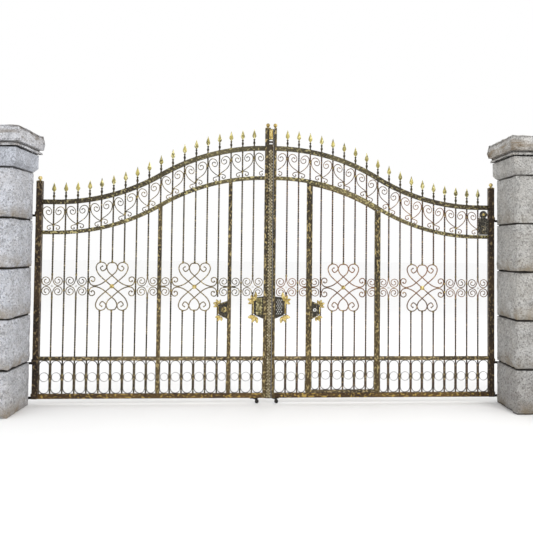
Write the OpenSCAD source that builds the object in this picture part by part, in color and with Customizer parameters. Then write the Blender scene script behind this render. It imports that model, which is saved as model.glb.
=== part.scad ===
// Double-leaf wrought iron driveway gate with a wicket door, hung between two granite pillars.
// Millimetres. Origin: centre of the left pillar's base. +X runs along the gate to the right
// pillar, +Y points into the drive, +Z is up. The leaves are drawn closed.
// Each leaf is drawn once on the side u > 0 of the gate's middle and mirrored for the left leaf.

/* [Pillars] */
// Width and depth of a pillar's shaft
pillar_w = 560; // [450:10:800]
// Height of the lowest course of stone
course_low = 456; // [300:1:600]
// Height of each of the four upper courses
course_h = 497; // [300:1:600]
// Height of the frieze block above the courses
neck_h = 201; // [120:1:300]
// Overhang of the frieze block over the shaft
neck_out = 40; // [10:5:90]
// Height of the cap stone
cap_h = 208; // [100:1:300]
// Overhang of the cap stone over the shaft
cap_out = 90; // [60:5:200]
// How far a rock-faced block swells beyond its joints
boss = 30; // [5:1:50]

/* [Leaves] */
// Clear width between the pillars
opening_w = 5034; // [4000:2:7000]
// Distance from picket to picket
pitch = 125; // [100:1:160]
// Side of the square picket bar
bar = 14; // [10:1:20]
// Side of the square hinge and meeting stiles
stile = 60; // [40:1:100]
// Width of the stiles beside the door field
door_stile = 40; // [30:1:60]
// Height of the top and bottom rails
rail_h = 50; // [30:1:80]
// Height of the middle and the lower curved rails
slim_rail_h = 40; // [20:1:60]
// Depth of all rails
rail_d = 40; // [20:1:60]
// Rise of the curved top from the hinge side to the middle
rise = 618; // [200:1:900]
// Horizontal run of the curve
run = 2230; // [1500:10:2300]
// Distance between the two curved rails
band_h = 326; // [200:1:450]

/* [Moving gaps] */
// Gap between hinge stile and pillar
hinge_gap = 32; // [28:1:60]
// Gap between the wicket and its jamb on the lock side
latch_gap = 8; // [6:1:15]
// Gap between the wicket and its jamb on the hinge side
jamb_gap = 6; // [5:1:12]
// Radial running clearance of every pin
pin_play = 0.05; // [0.01:0.01:0.1]

/* [Hidden] */
$fn = 48;

// ---- places along the gate -------------------------------------------------------------
gate_x = pillar_w / 2 + opening_w / 2;      // the gate's middle
gate_y = pillar_w / 2 + 20;                 // the leaves' middle plane, behind the pillars
pillar_pitch = opening_w + pillar_w;
u_pillar = opening_w / 2;                   // pillar face, from the gate's middle
u_hinge = u_pillar - hinge_gap / 2;         // leaf hinge axis
u_out = u_pillar - hinge_gap;               // outer face of the hinge stile
u_end = u_out - stile;                      // inner face of the hinge stile
meet = 4;                                   // half the gap between the leaves
u_in = meet + stile;                        // inner face of the meeting stile
stile_clear = 118;                          // stile to the middle of its nearest picket
n_pickets = 18;
function pk(k) = u_in + stile_clear + (k - 1) * pitch;
u_d1 = pk(3);                               // door field, lock side
u_d2 = pk(9);                               // door field, hinge side

// ---- heights ---------------------------------------------------------------------------
z_bot = 85;                                 // middle of the bottom rail
z_mid = 481;                                // middle of the middle rail
z_top = 2144;                               // middle of the top rail at the hinge side
z_cur = z_top - band_h;                     // middle of the lower curved rail there
z_band = 1249;                              // middle of the scroll band
z_bot_hi = z_bot + rail_h / 2;
z_bot_lo = z_bot - rail_h / 2;
z_mid_hi = z_mid + slim_rail_h / 2;
z_mid_lo = z_mid - slim_rail_h / 2;
z_hinge_stile = 2360;
z_meet_stile = 2978;
lock_lo = 908;
lock_hi = 1148;
door_lock_lo = 905;
door_lock_hi = 1098;
lock_rod = 1120;                            // pickets beside a lock stop here
door_lock_rod = 1070;
door_rod_end = 1140;                        // and start again here above a door lock

// ---- the curve of the top: two equal tangent arcs --------------------------------------
arc_r = (run * run + rise * rise) / (4 * rise);
arc_a = 2 * atan(rise / run);
u_mid = u_in + run / 2;
u_low = u_in + run;
// height over the hinge side of a curve at distance f outside the middle line of the rail
function crown(u, f = 0) =
    u < u_mid - f * sin(arc_a) ? rise - arc_r + sqrt(pow(arc_r + f, 2) - pow(max(u - u_in, 0), 2))
    : u < u_low ? arc_r - sqrt(pow(arc_r - f, 2) - pow(u_low - u, 2))
    : f;

// ---- helpers ---------------------------------------------------------------------------
module xz(y0, t) translate([0, y0 + t, 0]) rotate([90, 0, 0]) linear_extrude(t) children();
module left() translate([gate_x, gate_y, 0]) mirror([1, 0, 0]) children();
module right() translate([gate_x, gate_y, 0]) children();
module box(u0, u1, y0, y1, z0, z1) translate([u0, y0, z0]) cube([u1 - u0, y1 - y0, z1 - z0]);

iron = [0.20, 0.16, 0.12];
bronze = [0.45, 0.33, 0.20];
gold = [0.72, 0.58, 0.26];
pale = [0.75, 0.76, 0.76];
black = [0.08, 0.08, 0.08];
granite = [0.66, 0.68, 0.71];

// smooth path through control points, and a flat ribbon of width w along a path
function cr_at(p, i, t) =
    let (n = len(p) - 1, a = p[max(i - 1, 0)], b = p[i], c = p[i + 1], d = p[min(i + 2, n)])
    0.5 * (2 * b + (c - a) * t + (2 * a - 5 * b + 4 * c - d) * t * t
           + (3 * b - a - 3 * c + d) * t * t * t);
function smooth(p, n) = concat([for (i = [0:len(p) - 2], j = [0:n - 1]) cr_at(p, i, j / n)],
                               [p[len(p) - 1]]);
function across(p, i) =
    let (n = len(p) - 1, d = p[min(i + 1, n)] - p[max(i - 1, 0)]) [-d[1], d[0]] / norm(d);
module ribbon(p, w) polygon(concat(
    [for (i = [0:len(p) - 1]) p[i] + across(p, i) * w / 2],
    [for (i = [len(p) - 1:-1:0]) p[i] - across(p, i) * w / 2]));
module fused(t) xz(-t / 2, t) offset(delta = 0.001) children();

// ---- pillars ---------------------------------------------------------------------------
joint_h = 10;
joint_in = 10;                              // the joints lie this far inside the arrises
margin = 45;                                // from an arris to the full swell of a face
shaft_h = course_low + 4 * course_h;
half = pillar_w / 2;
module block_plan() polygon([[half, half], [half + boss, half - 2 * margin], [half + boss, margin - half],
    [half, -half], [half - margin, -half - boss], [margin - half, -half - boss],
    [-half, -half], [-half - boss, margin - half], [-half - boss, half - 2 * margin], [-half, half]]);
// a block's side view: swelling on both sides, or on the street side only
module block_side(z0, z1, back) polygon([[-half, z0], [-half - boss, z0 + margin],
    [-half - boss, z1 - margin], [-half, z1], [half, z1], [half + back, z1 - margin],
    [half + back, z0 + margin], [half, z0]]);
module block(z0, z1) intersection() {
    translate([0, 0, z0]) linear_extrude(z1 - z0) block_plan();
    xz(-pillar_w, 2 * pillar_w) block_side(z0, z1, boss);
    rotate([0, 0, 90]) xz(-pillar_w, 2 * pillar_w) block_side(z0, z1, 0);
}
module pillar(x) color(granite) translate([x, 0, 0]) {
    for (i = [0:4]) {
        z0 = i == 0 ? 0 : course_low + (i - 1) * course_h + joint_h / 2;
        z1 = course_low + i * course_h - (i == 4 ? 0 : joint_h / 2);
        block(z0, z1);
    }
    for (i = [0:3])
        translate([joint_in - half, joint_in - half, course_low + i * course_h - joint_h / 2])
            cube([pillar_w - 2 * joint_in, pillar_w - 2 * joint_in, joint_h]);
}
// a square stone with the same moulded profile on all four sides
module moulded(x, prof) color(granite) translate([x, 0, 0]) intersection() {
    xz(-pillar_w, 2 * pillar_w) both_sides(prof);
    rotate([0, 0, 90]) xz(-pillar_w, 2 * pillar_w) both_sides(prof);
}
module both_sides(prof) polygon(concat([for (q = prof) [half + q[0], q[1]]],
    [for (i = [len(prof) - 1:-1:0]) [-half - prof[i][0], prof[i][1]]]));
module pillar_neck(x) moulded(x, [[0, shaft_h], [neck_out, shaft_h + 45], [neck_out, shaft_h + neck_h]]);
fillet_out = 58;
cap_z = shaft_h + neck_h;
module pillar_cap(x) moulded(x, [[fillet_out, cap_z], [fillet_out, cap_z + 30],
    [cap_out - 12, cap_z + 45], [cap_out, cap_z + 110], [cap_out - 20, cap_z + cap_h]]);

// ---- leaf hinges -----------------------------------------------------------------------
hinge_z = [75, 440, 2010];
hinge_r = 13;
hinge_pin_r = 8;
axis_y = stile / 2;                         // the axis lies in the leaf's rear plane
rear_y = half - gate_y;                     // the pillars' rear face
module hinge_hooks() color(iron) for (z = hinge_z) {
    translate([u_hinge, axis_y, z - 24]) cylinder(r = hinge_r, h = 24);
    translate([u_hinge, axis_y, z - 1]) cylinder(r = hinge_pin_r, h = 33);
    box(u_hinge, u_pillar + 45, axis_y - 8, axis_y + 8, z - 24, z);
    box(u_pillar + 15, u_pillar + 45, rear_y, axis_y, z - 24, z);
}
module hinge_knuckles() color(iron) for (z = hinge_z) difference() {
    union() {
        translate([u_hinge, axis_y, z + 0.5]) cylinder(r = hinge_r, h = 28);
        box(u_out, u_hinge, axis_y - 10, axis_y, z + 0.5, z + 28.5);
    }
    translate([u_hinge, axis_y, z - 5]) cylinder(r = hinge_pin_r + pin_play, h = 40);
}

// ---- stiles ----------------------------------------------------------------------------
module hinge_stile() color(iron) box(u_out - stile, u_out, -stile / 2, stile / 2, z_bot_lo, z_hinge_stile);
module meeting_stile(inner) color(iron)
    box(inner, u_in, -stile / 2, stile / 2, z_bot_lo, z_meet_stile);
// a stile under the curved rail: its sloping top stops f below the rail's middle line
module cut_stile(u0, u1, z0, f) xz(-rail_d / 2, rail_d)
    polygon([[u0, z0], [u1, z0], [u1, z_cur + crown(u1, -f)], [u0, z_cur + crown(u0, -f)]]);
under = slim_rail_h / 2 + 0.1;
module door_stiles() color(iron) for (u = [u_d1, u_d2])
    cut_stile(u - door_stile / 2, u + door_stile / 2, z_bot_hi, under);
jamb = 28;
j_in0 = u_d1 - 33;                          // lock side jamb
j_in1 = j_in0 + jamb;
w_in0 = j_in1 + latch_gap;                  // wicket stile, lock side
w_in1 = w_in0 + jamb;
w_out0 = u_d2 - jamb_gap / 2 - jamb;        // wicket stile, hinge side
w_out1 = w_out0 + jamb;
j_out0 = w_out1 + jamb_gap;                 // hinge side jamb
j_out1 = j_out0 + jamb;
// a flat bar on the front of a jamb that the wicket closes behind, 5 mm clear of it
stop_lap = 7;                               // over the wicket
stop_foot = 8;                              // on the jamb or the curved rail
stop_gap = 5;
stop_t = 4;
stop_low = slim_rail_h / 2 + 7 + stop_lap;  // its lower edge below the curved rail's middle line
module stop_side(u0, u1, a0, a1) for (q = [[u0, u1, stop_gap + stop_t, stop_t], [a0, a1, stop_gap, stop_gap]])
    xz(-rail_d / 2 - q[2], q[3]) polygon([[q[0], z_bot_hi], [q[1], z_bot_hi],
        [q[1], z_cur + crown(q[1], -stop_low - 0.2)], [q[0], z_cur + crown(q[0], -stop_low - 0.2)]]);
module stop_ring(low, high, y0, t) translate([u_in, y0 + t, z_cur + rise - arc_r]) rotate([90, 0, 0])
    rotate_extrude(angle = arc_a, start = 90 - arc_a, $fn = 360) translate([arc_r - low, 0]) square([low - high, t]);
module stop_head() intersection() {
    union() {
        stop_ring(stop_low, slim_rail_h / 2 - stop_foot, -rail_d / 2 - stop_gap - stop_t, stop_t);
        stop_ring(slim_rail_h / 2, slim_rail_h / 2 - stop_foot, -rail_d / 2 - stop_gap, stop_gap);
    }
    box(j_in1 - stop_foot, j_out0 + stop_foot, -rail_d, 0, 1500, 3000);
}
module door_jambs() color(iron) {
    cut_stile(j_in0, j_in1, z_bot_hi, under);
    cut_stile(j_out0, j_out1, z_bot_hi, under);
    stop_side(j_in1 - stop_foot, w_in0 + stop_lap, j_in1 - stop_foot, j_in1);
    stop_side(w_out1 - stop_lap, j_out0 + stop_foot, j_out0, j_out0 + stop_foot);
}

// ---- rails -----------------------------------------------------------------------------
module rail_arcs(z, h) {
    translate([u_in, rail_d / 2, z + rise - arc_r]) rotate([90, 0, 0])
        rotate_extrude(angle = arc_a, start = 90 - arc_a, $fn = 360)
            translate([arc_r - h / 2, 0]) square([h, rail_d]);
    translate([u_low, rail_d / 2, z + arc_r]) rotate([90, 0, 0])
        rotate_extrude(angle = arc_a, start = 270 - arc_a, $fn = 360)
            translate([arc_r - h / 2, 0]) square([h, rail_d]);
    box(u_low, u_end, -rail_d / 2, rail_d / 2, z - h / 2, z + h / 2);
}
module top_rail() color(iron) rail_arcs(z_top, rail_h);
module curved_rail() color(iron) rail_arcs(z_cur, slim_rail_h);
module flat_rail(u0, u1, z, h) box(u0, u1, -rail_d / 2, rail_d / 2, z - h / 2, z + h / 2);
module bottom_rail() color(iron) flat_rail(u_in, u_end, z_bot, rail_h);
module middle_rail(a0, a1, b0, b1, c0, c1) color(iron) {
    flat_rail(a0, a1, z_mid, slim_rail_h);
    if (b1 > b0) flat_rail(b0, b1, z_mid, slim_rail_h);
    flat_rail(c0, c1, z_mid, slim_rail_h);
}

// ---- pickets ---------------------------------------------------------------------------
top_under = rail_h / 2 + 0.1;
function has(k, set) = len([for (s = set) if (s == k) 1]) > 0;
split = [1, 10, 16, 18];                    // pickets that divide into scrolls at the band
framed = [5, 6, 7, 12, 13, 14];             // pickets that end at a medallion
split_end = 112;                            // from the band's middle to a divided picket's end
framed_end = 252;
module post(k, z0, z1) xz(-bar / 2, bar) translate([pk(k) - bar / 2, z0]) square([bar, z1 - z0]);
// a picket piece up to a curved rail whose underside lies f below z
module rod(k, z0, z, f) xz(-bar / 2, bar) polygon([[pk(k) - bar / 2, z0], [pk(k) + bar / 2, z0],
    [pk(k) + bar / 2, z + crown(pk(k) + bar / 2, -f)], [pk(k) - bar / 2, z + crown(pk(k) - bar / 2, -f)]]);
module band_rod(k) xz(-bar / 2, bar) polygon([for (q = [[-1, 0], [1, 0], [1, 1], [-1, 1]])
    let (u = pk(k) + q[0] * bar / 2)
    [u, q[1] ? z_top + crown(u, -top_under) : z_cur + crown(u, under)]]);
module field_picket(k, f, lock_top) {
    gap = has(k, framed) ? framed_end : has(k, split) ? split_end : 0;
    if (lock_top > 0) {
        post(k, z_mid_hi, lock_top);
        rod(k, gap > 0 ? z_band + gap : door_rod_end, z_cur, f);
    } else if (gap > 0) {
        post(k, z_mid_hi, z_band - gap);
        rod(k, z_band + gap, z_cur, f);
    } else rod(k, z_mid_hi, z_cur, f);
}
module pickets(field, locked) color(bronze) {
    for (k = [1:n_pickets]) band_rod(k);
    for (k = field) {
        field_picket(k, under, k == 1 ? lock_rod : has(k, locked) ? door_lock_rod : 0);
        post(k, z_bot_hi, z_mid_lo);
    }
}
left_field = [for (k = [1:n_pickets]) if (k != 3 && k != 9) k];
right_field = [for (k = [1:n_pickets]) if (k < 3 || k > 9) k];

// ---- spears ----------------------------------------------------------------------------
shank_h = 88;
head_h = 100;
head_r = 23;
module spears() color(gold) for (k = [1:n_pickets]) {
    u0 = pk(k) - bar / 2;
    u1 = pk(k) + bar / 2;
    zt = z_top + crown(pk(k), rail_h / 2) + shank_h;
    xz(-bar / 2, bar) polygon([[u0, z_top + crown(u0, top_under)], [u1, z_top + crown(u1, top_under)],
                               [u1, zt], [u0, zt]]);
    translate([pk(k), 0, zt - 2]) cylinder(r1 = bar / 2, r2 = head_r, h = 32, $fn = 24);
    translate([pk(k), 0, zt + 30]) cylinder(r1 = head_r, r2 = 1, h = head_h - 30, $fn = 24);
}

// ---- scrolls ---------------------------------------------------------------------------
scroll_w = 9;
scroll_t = 12;
heart = [[-38, 52], [-30, 40], [-46, 31], [-64, 43], [-62, 64], [-38, 76], [0, 84], [45, 110],
         [90, 152], [111, 200], [109, 247], [80, 273], [44, 264], [23, 234], [26, 203], [49, 188],
         [74, 203], [76, 227], [57, 239], [42, 226]];
// the height of the curve at the middle of the gap that u lies in, blended at the pickets
function gap_mid(u) = let (g = floor((u - pk(0)) / pitch)) crown(pk(g) + pitch / 2);
function blend(u) = let (b = pk(round((u - pk(0)) / pitch)), t = max(0, min(1, (u - b + 22) / 44)),
    s = t * t * (3 - 2 * t)) gap_mid(b - 1) * (1 - s) + gap_mid(b + 1) * s;
function heart_path(k, s, first) = [for (q = smooth([for (i = [first:len(heart) - 1]) heart[i]], 2))
    let (u = pk(k) + s * q[0]) [u, z_cur + blend(u) + q[1]]];
module rail_shape(z, f) polygon(concat(
    [for (i = [0:72]) let (u = u_in - 20 + i * (u_end - u_in + 40) / 72) [u, z + crown(u, f)]],
    [for (i = [72:-1:0]) let (u = u_in - 20 + i * (u_end - u_in + 40) / 72) [u, z + crown(u, -f)]]));
module heart_scrolls() color(bronze) fused(scroll_t) difference() {
    union() for (k = [0:2:n_pickets]) {
        if (k > 0) ribbon(heart_path(k, -1, 0), scroll_w);
        ribbon(heart_path(k, 1, k == 0 ? 6 : 0), scroll_w);
        if (k == 0) ribbon([for (i = [0:10]) heart_path(0, -1, 0)[i]], scroll_w);
    }
    rail_shape(z_top, rail_h / 2 + 0.5);
    rail_shape(z_cur, slim_rail_h / 2 + 0.5);
    for (k = [1:n_pickets]) translate([pk(k) - bar / 2, z_cur]) square([bar, rise + band_h]);
    translate([0, z_cur]) square([u_in, rise + band_h]);
    translate([u_end, z_cur]) square([stile, rise + band_h]);
}

// one quarter of a divided picket: a C scroll in the gap beside it
quarter = [[2, 118], [4, 96], [9, 60], [27, 20], [60, 6], [94, 20], [106, 54], [94, 84], [63, 95],
           [35, 80], [28, 56], [42, 34], [64, 30], [80, 44], [78, 64], [62, 70]];
// medallion quarter: outer lobe with its curl, and the loop that runs on to the side scroll
lobe = [[98, 217], [124, 195], [98, 163], [60, 195], [70, 238], [110, 256], [152, 240], [168, 196],
        [146, 136], [106, 92], [66, 57], [0, 0]];
loop = [[0, 252], [-34, 246], [-56, 205], [-40, 155], [0, 116], [66, 57], [118, 22], [176, 5],
        [222, 20], [239, 64], [229, 94], [204, 101], [181, 84], [184, 58], [205, 48], [217, 64]];
module four() for (a = [0, 1], b = [0, 1]) mirror([a, 0]) mirror([0, b]) children();
module medallion() {
    four() { ribbon(smooth(lobe, 3), scroll_w); ribbon(smooth(loop, 2), scroll_w); }
    for (s = [-1, 1]) translate([s * pitch, 0]) for (v = [-1, 1])
        translate([-bar / 2, v > 0 ? 246 : -252]) square([bar, 6]);
    circle(r = 26);
}
module pair(s) for (b = [0, 1]) mirror([0, b]) scale([s, 1]) ribbon(smooth(quarter, 2), scroll_w);
module stub(s) for (b = [0, 1]) mirror([0, b]) scale([s, 1]) {
    ribbon(smooth([for (i = [4:len(quarter) - 1]) quarter[i]], 2), scroll_w);
    translate([-4, 1]) square([70, scroll_w]);
}
module band(splits, stubs, rounds, edges) color(bronze) fused(scroll_t) difference() {
    union() {
        for (k = splits) translate([pk(k), z_band]) { pair(1); pair(-1); circle(r = 16, $fn = 4); }
        for (q = stubs) translate([pk(q[0]), z_band]) stub(q[1]);
        for (k = rounds) translate([pk(k), z_band]) medallion();
    }
    for (k = [1:n_pickets]) if (!has(k, split) && !has(k, framed))
        translate([pk(k) - bar / 2, z_band - 400]) square([bar, 800]);
    for (k = splits, v = [-1, 1]) translate([pk(k) - bar / 2, z_band + (v > 0 ? split_end : -200)])
        square([bar, 200 - split_end]);
    for (k = rounds, j = [-1:1], v = [-1, 1])
        translate([pk(k) + j * pitch - bar / 2, z_band + (v > 0 ? framed_end : -300)])
            square([bar, 300 - framed_end]);
    for (e = edges) translate([e[0], z_band - 400]) square([e[1] - e[0], 800]);
}

// ---- loops and rings of the bottom panel -----------------------------------------------
loop_t = 6;
ring_r = 50;
ring_t = 6;
// one stadium loop standing in the clear gap g0..g1 between z0 and z1, with its ring
module loop_and_ring(g0, g1, z0, z1) {
    w = g1 - g0;
    r = w / 2;
    difference() {
        translate([g0, z0]) stadium(w, z1 - z0);
        translate([g0 + loop_t, z0 + loop_t]) stadium(w - 2 * loop_t, z1 - z0 - 2 * loop_t);
    }
    rr = min(ring_r, r - loop_t + 0.5);
    translate([(g0 + g1) / 2, (z0 + z1) / 2]) difference() {
        circle(r = rr);
        circle(r = rr - ring_t);
    }
}
module stadium(w, h) union() {
    translate([w / 2, w / 2]) circle(d = w);
    translate([w / 2, h - w / 2]) circle(d = w);
    translate([0, w / 2]) square([w, h - w]);
}
module loops(gaps, z0) color(pale)
    for (g = gaps) xz(-scroll_t / 2, scroll_t) loop_and_ring(g[0], g[1], z0, z_mid_lo);
hb = bar / 2;
left_gaps = concat([[u_in, pk(1) - hb], [pk(1) + hb, pk(2) - hb],
                    [pk(2) + hb, u_d1 - door_stile / 2], [u_d1 + door_stile / 2, pk(4) - hb]],
    [for (k = [4:7]) [pk(k) + hb, pk(k + 1) - hb]],
    [[pk(8) + hb, u_d2 - door_stile / 2], [u_d2 + door_stile / 2, pk(10) - hb]],
    [for (k = [10:17]) [pk(k) + hb, pk(k + 1) - hb]], [[pk(18) + hb, u_end]]);
right_gaps = concat([[u_in, pk(1) - hb], [pk(1) + hb, pk(2) - hb], [pk(2) + hb, j_in0],
                     [j_out1, pk(10) - hb]],
    [for (k = [10:17]) [pk(k) + hb, pk(k + 1) - hb]], [[pk(18) + hb, u_end]]);
wicket_gaps = concat([[w_in1, pk(4) - hb]], [for (k = [4:7]) [pk(k) + hb, pk(k + 1) - hb]],
                     [[pk(8) + hb, w_out0]]);

// ---- ball caps, locks, cover strip, bracket ----------------------------------------------
ball_r = 22;
neck_ball = 10;
module ball_cap(u, u0, u1, z) {
    box(u0, u1, -stile / 2, stile / 2, z, z + 8);
    translate([u, 0, z + 8]) cylinder(r = 10, h = neck_ball + 2, $fn = 32);
    translate([u, 0, z + 6 + neck_ball + ball_r]) sphere(r = ball_r, $fn = 48);
}
module ball_caps(u, inner) color(gold) {
    ball_cap(u_out - stile / 2, u_end, u_out, z_hinge_stile);
    ball_cap(u, inner, u_in, z_meet_stile);
}
lock_d = 50;
// a lock case between a stile and the picket beside it, its outer corners cut back
module lock_case(u0, u1, z0, z1, low, high) color(black) difference() {
    xz(-lock_d / 2, lock_d) polygon([[u0, z0], [u1 - 22, z0 + low - 12], [u1, z0 + low + 12],
        [u1, z1 - high - 12], [u1 - 20, z1 - high + 8], [u0, z1]]);
    translate([u0 + 32, 0, z1 - 92]) rotate([90, 0, 0]) cylinder(r = 4, h = lock_d + 10, center = true);
}
module main_lock() lock_case(u_in, pk(1) - bar / 2, lock_lo, lock_hi, 50, 20);
module door_lock(u0) lock_case(u0, pk(4) - bar / 2, door_lock_lo, door_lock_hi, 50, 36);
strip_w = 58;
strip_t = 12;
module cover_strip_shape() color(bronze)
    box(-strip_w / 2, strip_w / 2, -stile / 2 - strip_t, -stile / 2, z_bot_lo, 2971);
bracket_lo = z_cur + slim_rail_h / 2 + 4;
module bracket_shape() color(black) {
    xz(-bar / 2 - 13, 13) polygon([[pk(18) - 5, bracket_lo], [u_end, bracket_lo], [u_end, 1975],
        [pk(18) + 92, 2028], [pk(18) + 4, 2028]]);
    translate([pk(18) + 58, -bar / 2, 2066]) rotate([90, 0, 0]) cylinder(r = 42, h = 13);
}

// ---- casters -----------------------------------------------------------------------------
trail = 28;
wheel_r = 21;
wheel_w = 14;
axle_r = 3;
king_r = 4;
fork_z0 = 48;
fork_z1 = 51.5;
module caster_plate(x, x0, x1) color(black) {
    translate([x0, -30, z_bot_lo - 4]) cube([x1 - x0, 60, 4]);
    translate([x, 0, fork_z1 + 0.5]) cylinder(r = 14, h = z_bot_lo - 4 - fork_z1 - 0.5);
    translate([x, 0, fork_z0 - 3.5]) cylinder(r = king_r, h = 10);
    translate([x, 0, fork_z0 - 3.5]) cylinder(r = 6, h = 3);
}
module caster_fork(x) color(black) difference() {
    union() {
        translate([x, 0, fork_z0]) cylinder(r = 14, h = fork_z1 - fork_z0);
        translate([x, -12, fork_z0]) cube([trail + 8, 24, fork_z1 - fork_z0]);
        for (y = [-12, 9]) translate([x, y, 0]) xz(0, 3)
            polygon([[4, fork_z1], [trail + 8, fork_z1], [trail + 8, wheel_r - 7], [trail - 8, wheel_r - 7]]);
        translate([x + trail, 0, wheel_r]) rotate([90, 0, 0]) cylinder(r = axle_r, h = 24, center = true);
    }
    translate([x, 0, fork_z0 - 1]) cylinder(r = king_r + pin_play, h = 6);
}
module caster_wheel(x) color(black) translate([x + trail, 0, wheel_r]) rotate([90, 0, 0]) difference() {
    cylinder(r = wheel_r, h = wheel_w, center = true);
    cylinder(r = axle_r + pin_play, h = wheel_w + 2, center = true);
}
left_caster_x = gate_x - 150;
right_caster_x = gate_x + 60;

// ---- wicket ------------------------------------------------------------------------------
lift = 7;                                   // gap under the leaf's curved rail
slim = 25;                                  // height of the wicket's bottom rail
w_head = 16;                                // height of its top rail
w_bot_lo = z_bot_hi + 6;
w_bot_hi = w_bot_lo + slim;
w_top = slim_rail_h / 2 + lift;             // wicket's top edge below the rail's middle line
module wicket_stiles_shape() color(iron) {
    cut_stile(w_in0, w_in1, w_bot_lo, w_top);
    cut_stile(w_out0, w_out1, w_bot_lo, w_top);
}
module wicket_rails_shape() color(iron) {
    box(w_in1, w_out0, -rail_d / 2, rail_d / 2, w_bot_lo, w_bot_hi);
    box(w_in1, w_out0, -rail_d / 2, rail_d / 2, z_mid_lo, z_mid_hi);
    intersection() {
        translate([u_in, rail_d / 2, z_cur + rise - arc_r]) rotate([90, 0, 0])
            rotate_extrude(angle = arc_a, start = 90 - arc_a, $fn = 360)
                translate([arc_r - w_top - w_head, 0]) square([w_head, rail_d]);
        box(w_in1, w_out0, -rail_d, rail_d, 1500, 3000);
    }
}
module wicket_pickets_shape() color(bronze) for (k = [4:8]) {
    field_picket(k, w_top + w_head + 0.1, k == 4 ? door_lock_rod : 0);
    post(k, w_bot_hi, z_mid_lo);
}
w_axis_u = u_d2;
w_axis_y = rail_d / 2 + 12;
w_pin_r = 5;
w_eye_r = 9;
w_hinge_z = [300, 1300, 1950];
module wicket_eyes() color(iron) for (z = w_hinge_z) difference() {
    union() {
        translate([w_axis_u, w_axis_y, z + 0.5]) cylinder(r = w_eye_r, h = 30);
        box(w_out0, w_axis_u, rail_d / 2, rail_d / 2 + 7, z + 0.5, z + 30.5);
    }
    translate([w_axis_u, w_axis_y, z - 5]) cylinder(r = w_pin_r + pin_play, h = 45);
}
module wicket_pins() color(iron) for (z = w_hinge_z) {
    translate([w_axis_u, w_axis_y, z - 26]) cylinder(r = w_eye_r, h = 26);
    translate([w_axis_u, w_axis_y, z - 1]) cylinder(r = w_pin_r, h = 34);
    box(w_axis_u + 4, j_out1, rail_d / 2, rail_d / 2 + 7, z - 26, z);
}

// ---- nodes -------------------------------------------------------------------------------
module left_pillar() pillar(0);
module left_pillar_neck() pillar_neck(0);
module left_pillar_cap() pillar_cap(0);
module right_pillar() pillar(pillar_pitch);
module right_pillar_neck() pillar_neck(pillar_pitch);
module right_pillar_cap() pillar_cap(pillar_pitch);
module left_hinge_hooks() left() hinge_hooks();
module right_hinge_hooks() right() hinge_hooks();

module left_hinge_stile() left() hinge_stile();
module left_meeting_stile() left() meeting_stile(meet);
module left_door_stiles() left() door_stiles();
module left_top_rail() left() top_rail();
module left_curved_rail() left() curved_rail();
module left_middle_rail() left() middle_rail(u_in, u_d1 - door_stile / 2, u_d1 + door_stile / 2,
    u_d2 - door_stile / 2, u_d2 + door_stile / 2, u_end);
module left_bottom_rail() left() bottom_rail();
module left_pickets() left() pickets(left_field, [4]);
module left_spears() left() spears();
module left_heart_scrolls() left() heart_scrolls();
module left_scroll_band() left() band([1, 10, 16, 18], [[3, -1], [3, 1], [9, -1]], [6, 13],
    [[0, u_in], [u_d1 - 20, u_d1 + 20], [u_d2 - 20, u_d2 + 20], [u_end, u_out]]);
module left_loops_and_rings() left() loops(left_gaps, z_bot_hi);
module left_ball_caps() left() ball_caps(u_in - stile / 2, meet);
module left_hinge_knuckles() left() hinge_knuckles();
module left_lock() left() main_lock();
module left_blind_lock() left() door_lock(u_d1 + door_stile / 2);
module cover_strip() right() cover_strip_shape();
module left_caster_plate() translate([0, gate_y, 0])
    caster_plate(left_caster_x, left_caster_x - 45, left_caster_x + 45);
module left_caster_fork() translate([0, gate_y, 0]) caster_fork(left_caster_x);
module left_caster_wheel() translate([0, gate_y, 0]) caster_wheel(left_caster_x);

right_meet = 35;                            // the narrow stile beside the cover strip
module right_hinge_stile() right() hinge_stile();
module right_meeting_stile() right() meeting_stile(right_meet);
module right_door_jambs() right() door_jambs();
module right_top_rail() right() top_rail();
module right_curved_rail() right() { curved_rail(); color(iron) stop_head(); }
module right_middle_rail() right() middle_rail(u_in, j_in0, 0, 0, j_out1, u_end);
module right_bottom_rail() right() bottom_rail();
module right_pickets() right() pickets(right_field, []);
module right_spears() right() spears();
module right_heart_scrolls() right() heart_scrolls();
module right_scroll_band() right() band([1, 10, 16, 18], [[3, -1]], [13],
    [[0, u_in], [j_in0, u_d1 + 40], [u_d2 - 40, j_out1], [u_end, u_out]]);
module right_loops_and_rings() right() loops(right_gaps, z_bot_hi);
module right_ball_caps() right() ball_caps(46, right_meet);
module right_hinge_knuckles() right() hinge_knuckles();
module right_lock() right() main_lock();
module right_bracket() right() bracket_shape();
module right_caster_plate() translate([0, gate_y, 0])
    caster_plate(right_caster_x, right_caster_x - 24, right_caster_x + 56);
module right_caster_fork() translate([0, gate_y, 0]) caster_fork(right_caster_x);
module right_caster_wheel() translate([0, gate_y, 0]) caster_wheel(right_caster_x);

module wicket_stiles() right() wicket_stiles_shape();
module wicket_rails() right() wicket_rails_shape();
module wicket_pickets() right() wicket_pickets_shape();
module wicket_scroll_band() right() band([], [[3, 1], [9, -1]], [6],
    [[u_d1 - 60, w_in1], [w_out0, u_d2 + 60]]);
module wicket_loops_and_rings() right() loops(wicket_gaps, w_bot_hi);
module wicket_lock() right() door_lock(w_in1);
module wicket_hinge_eyes() right() wicket_eyes();
module wicket_hinge_pins() right() wicket_pins();

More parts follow.
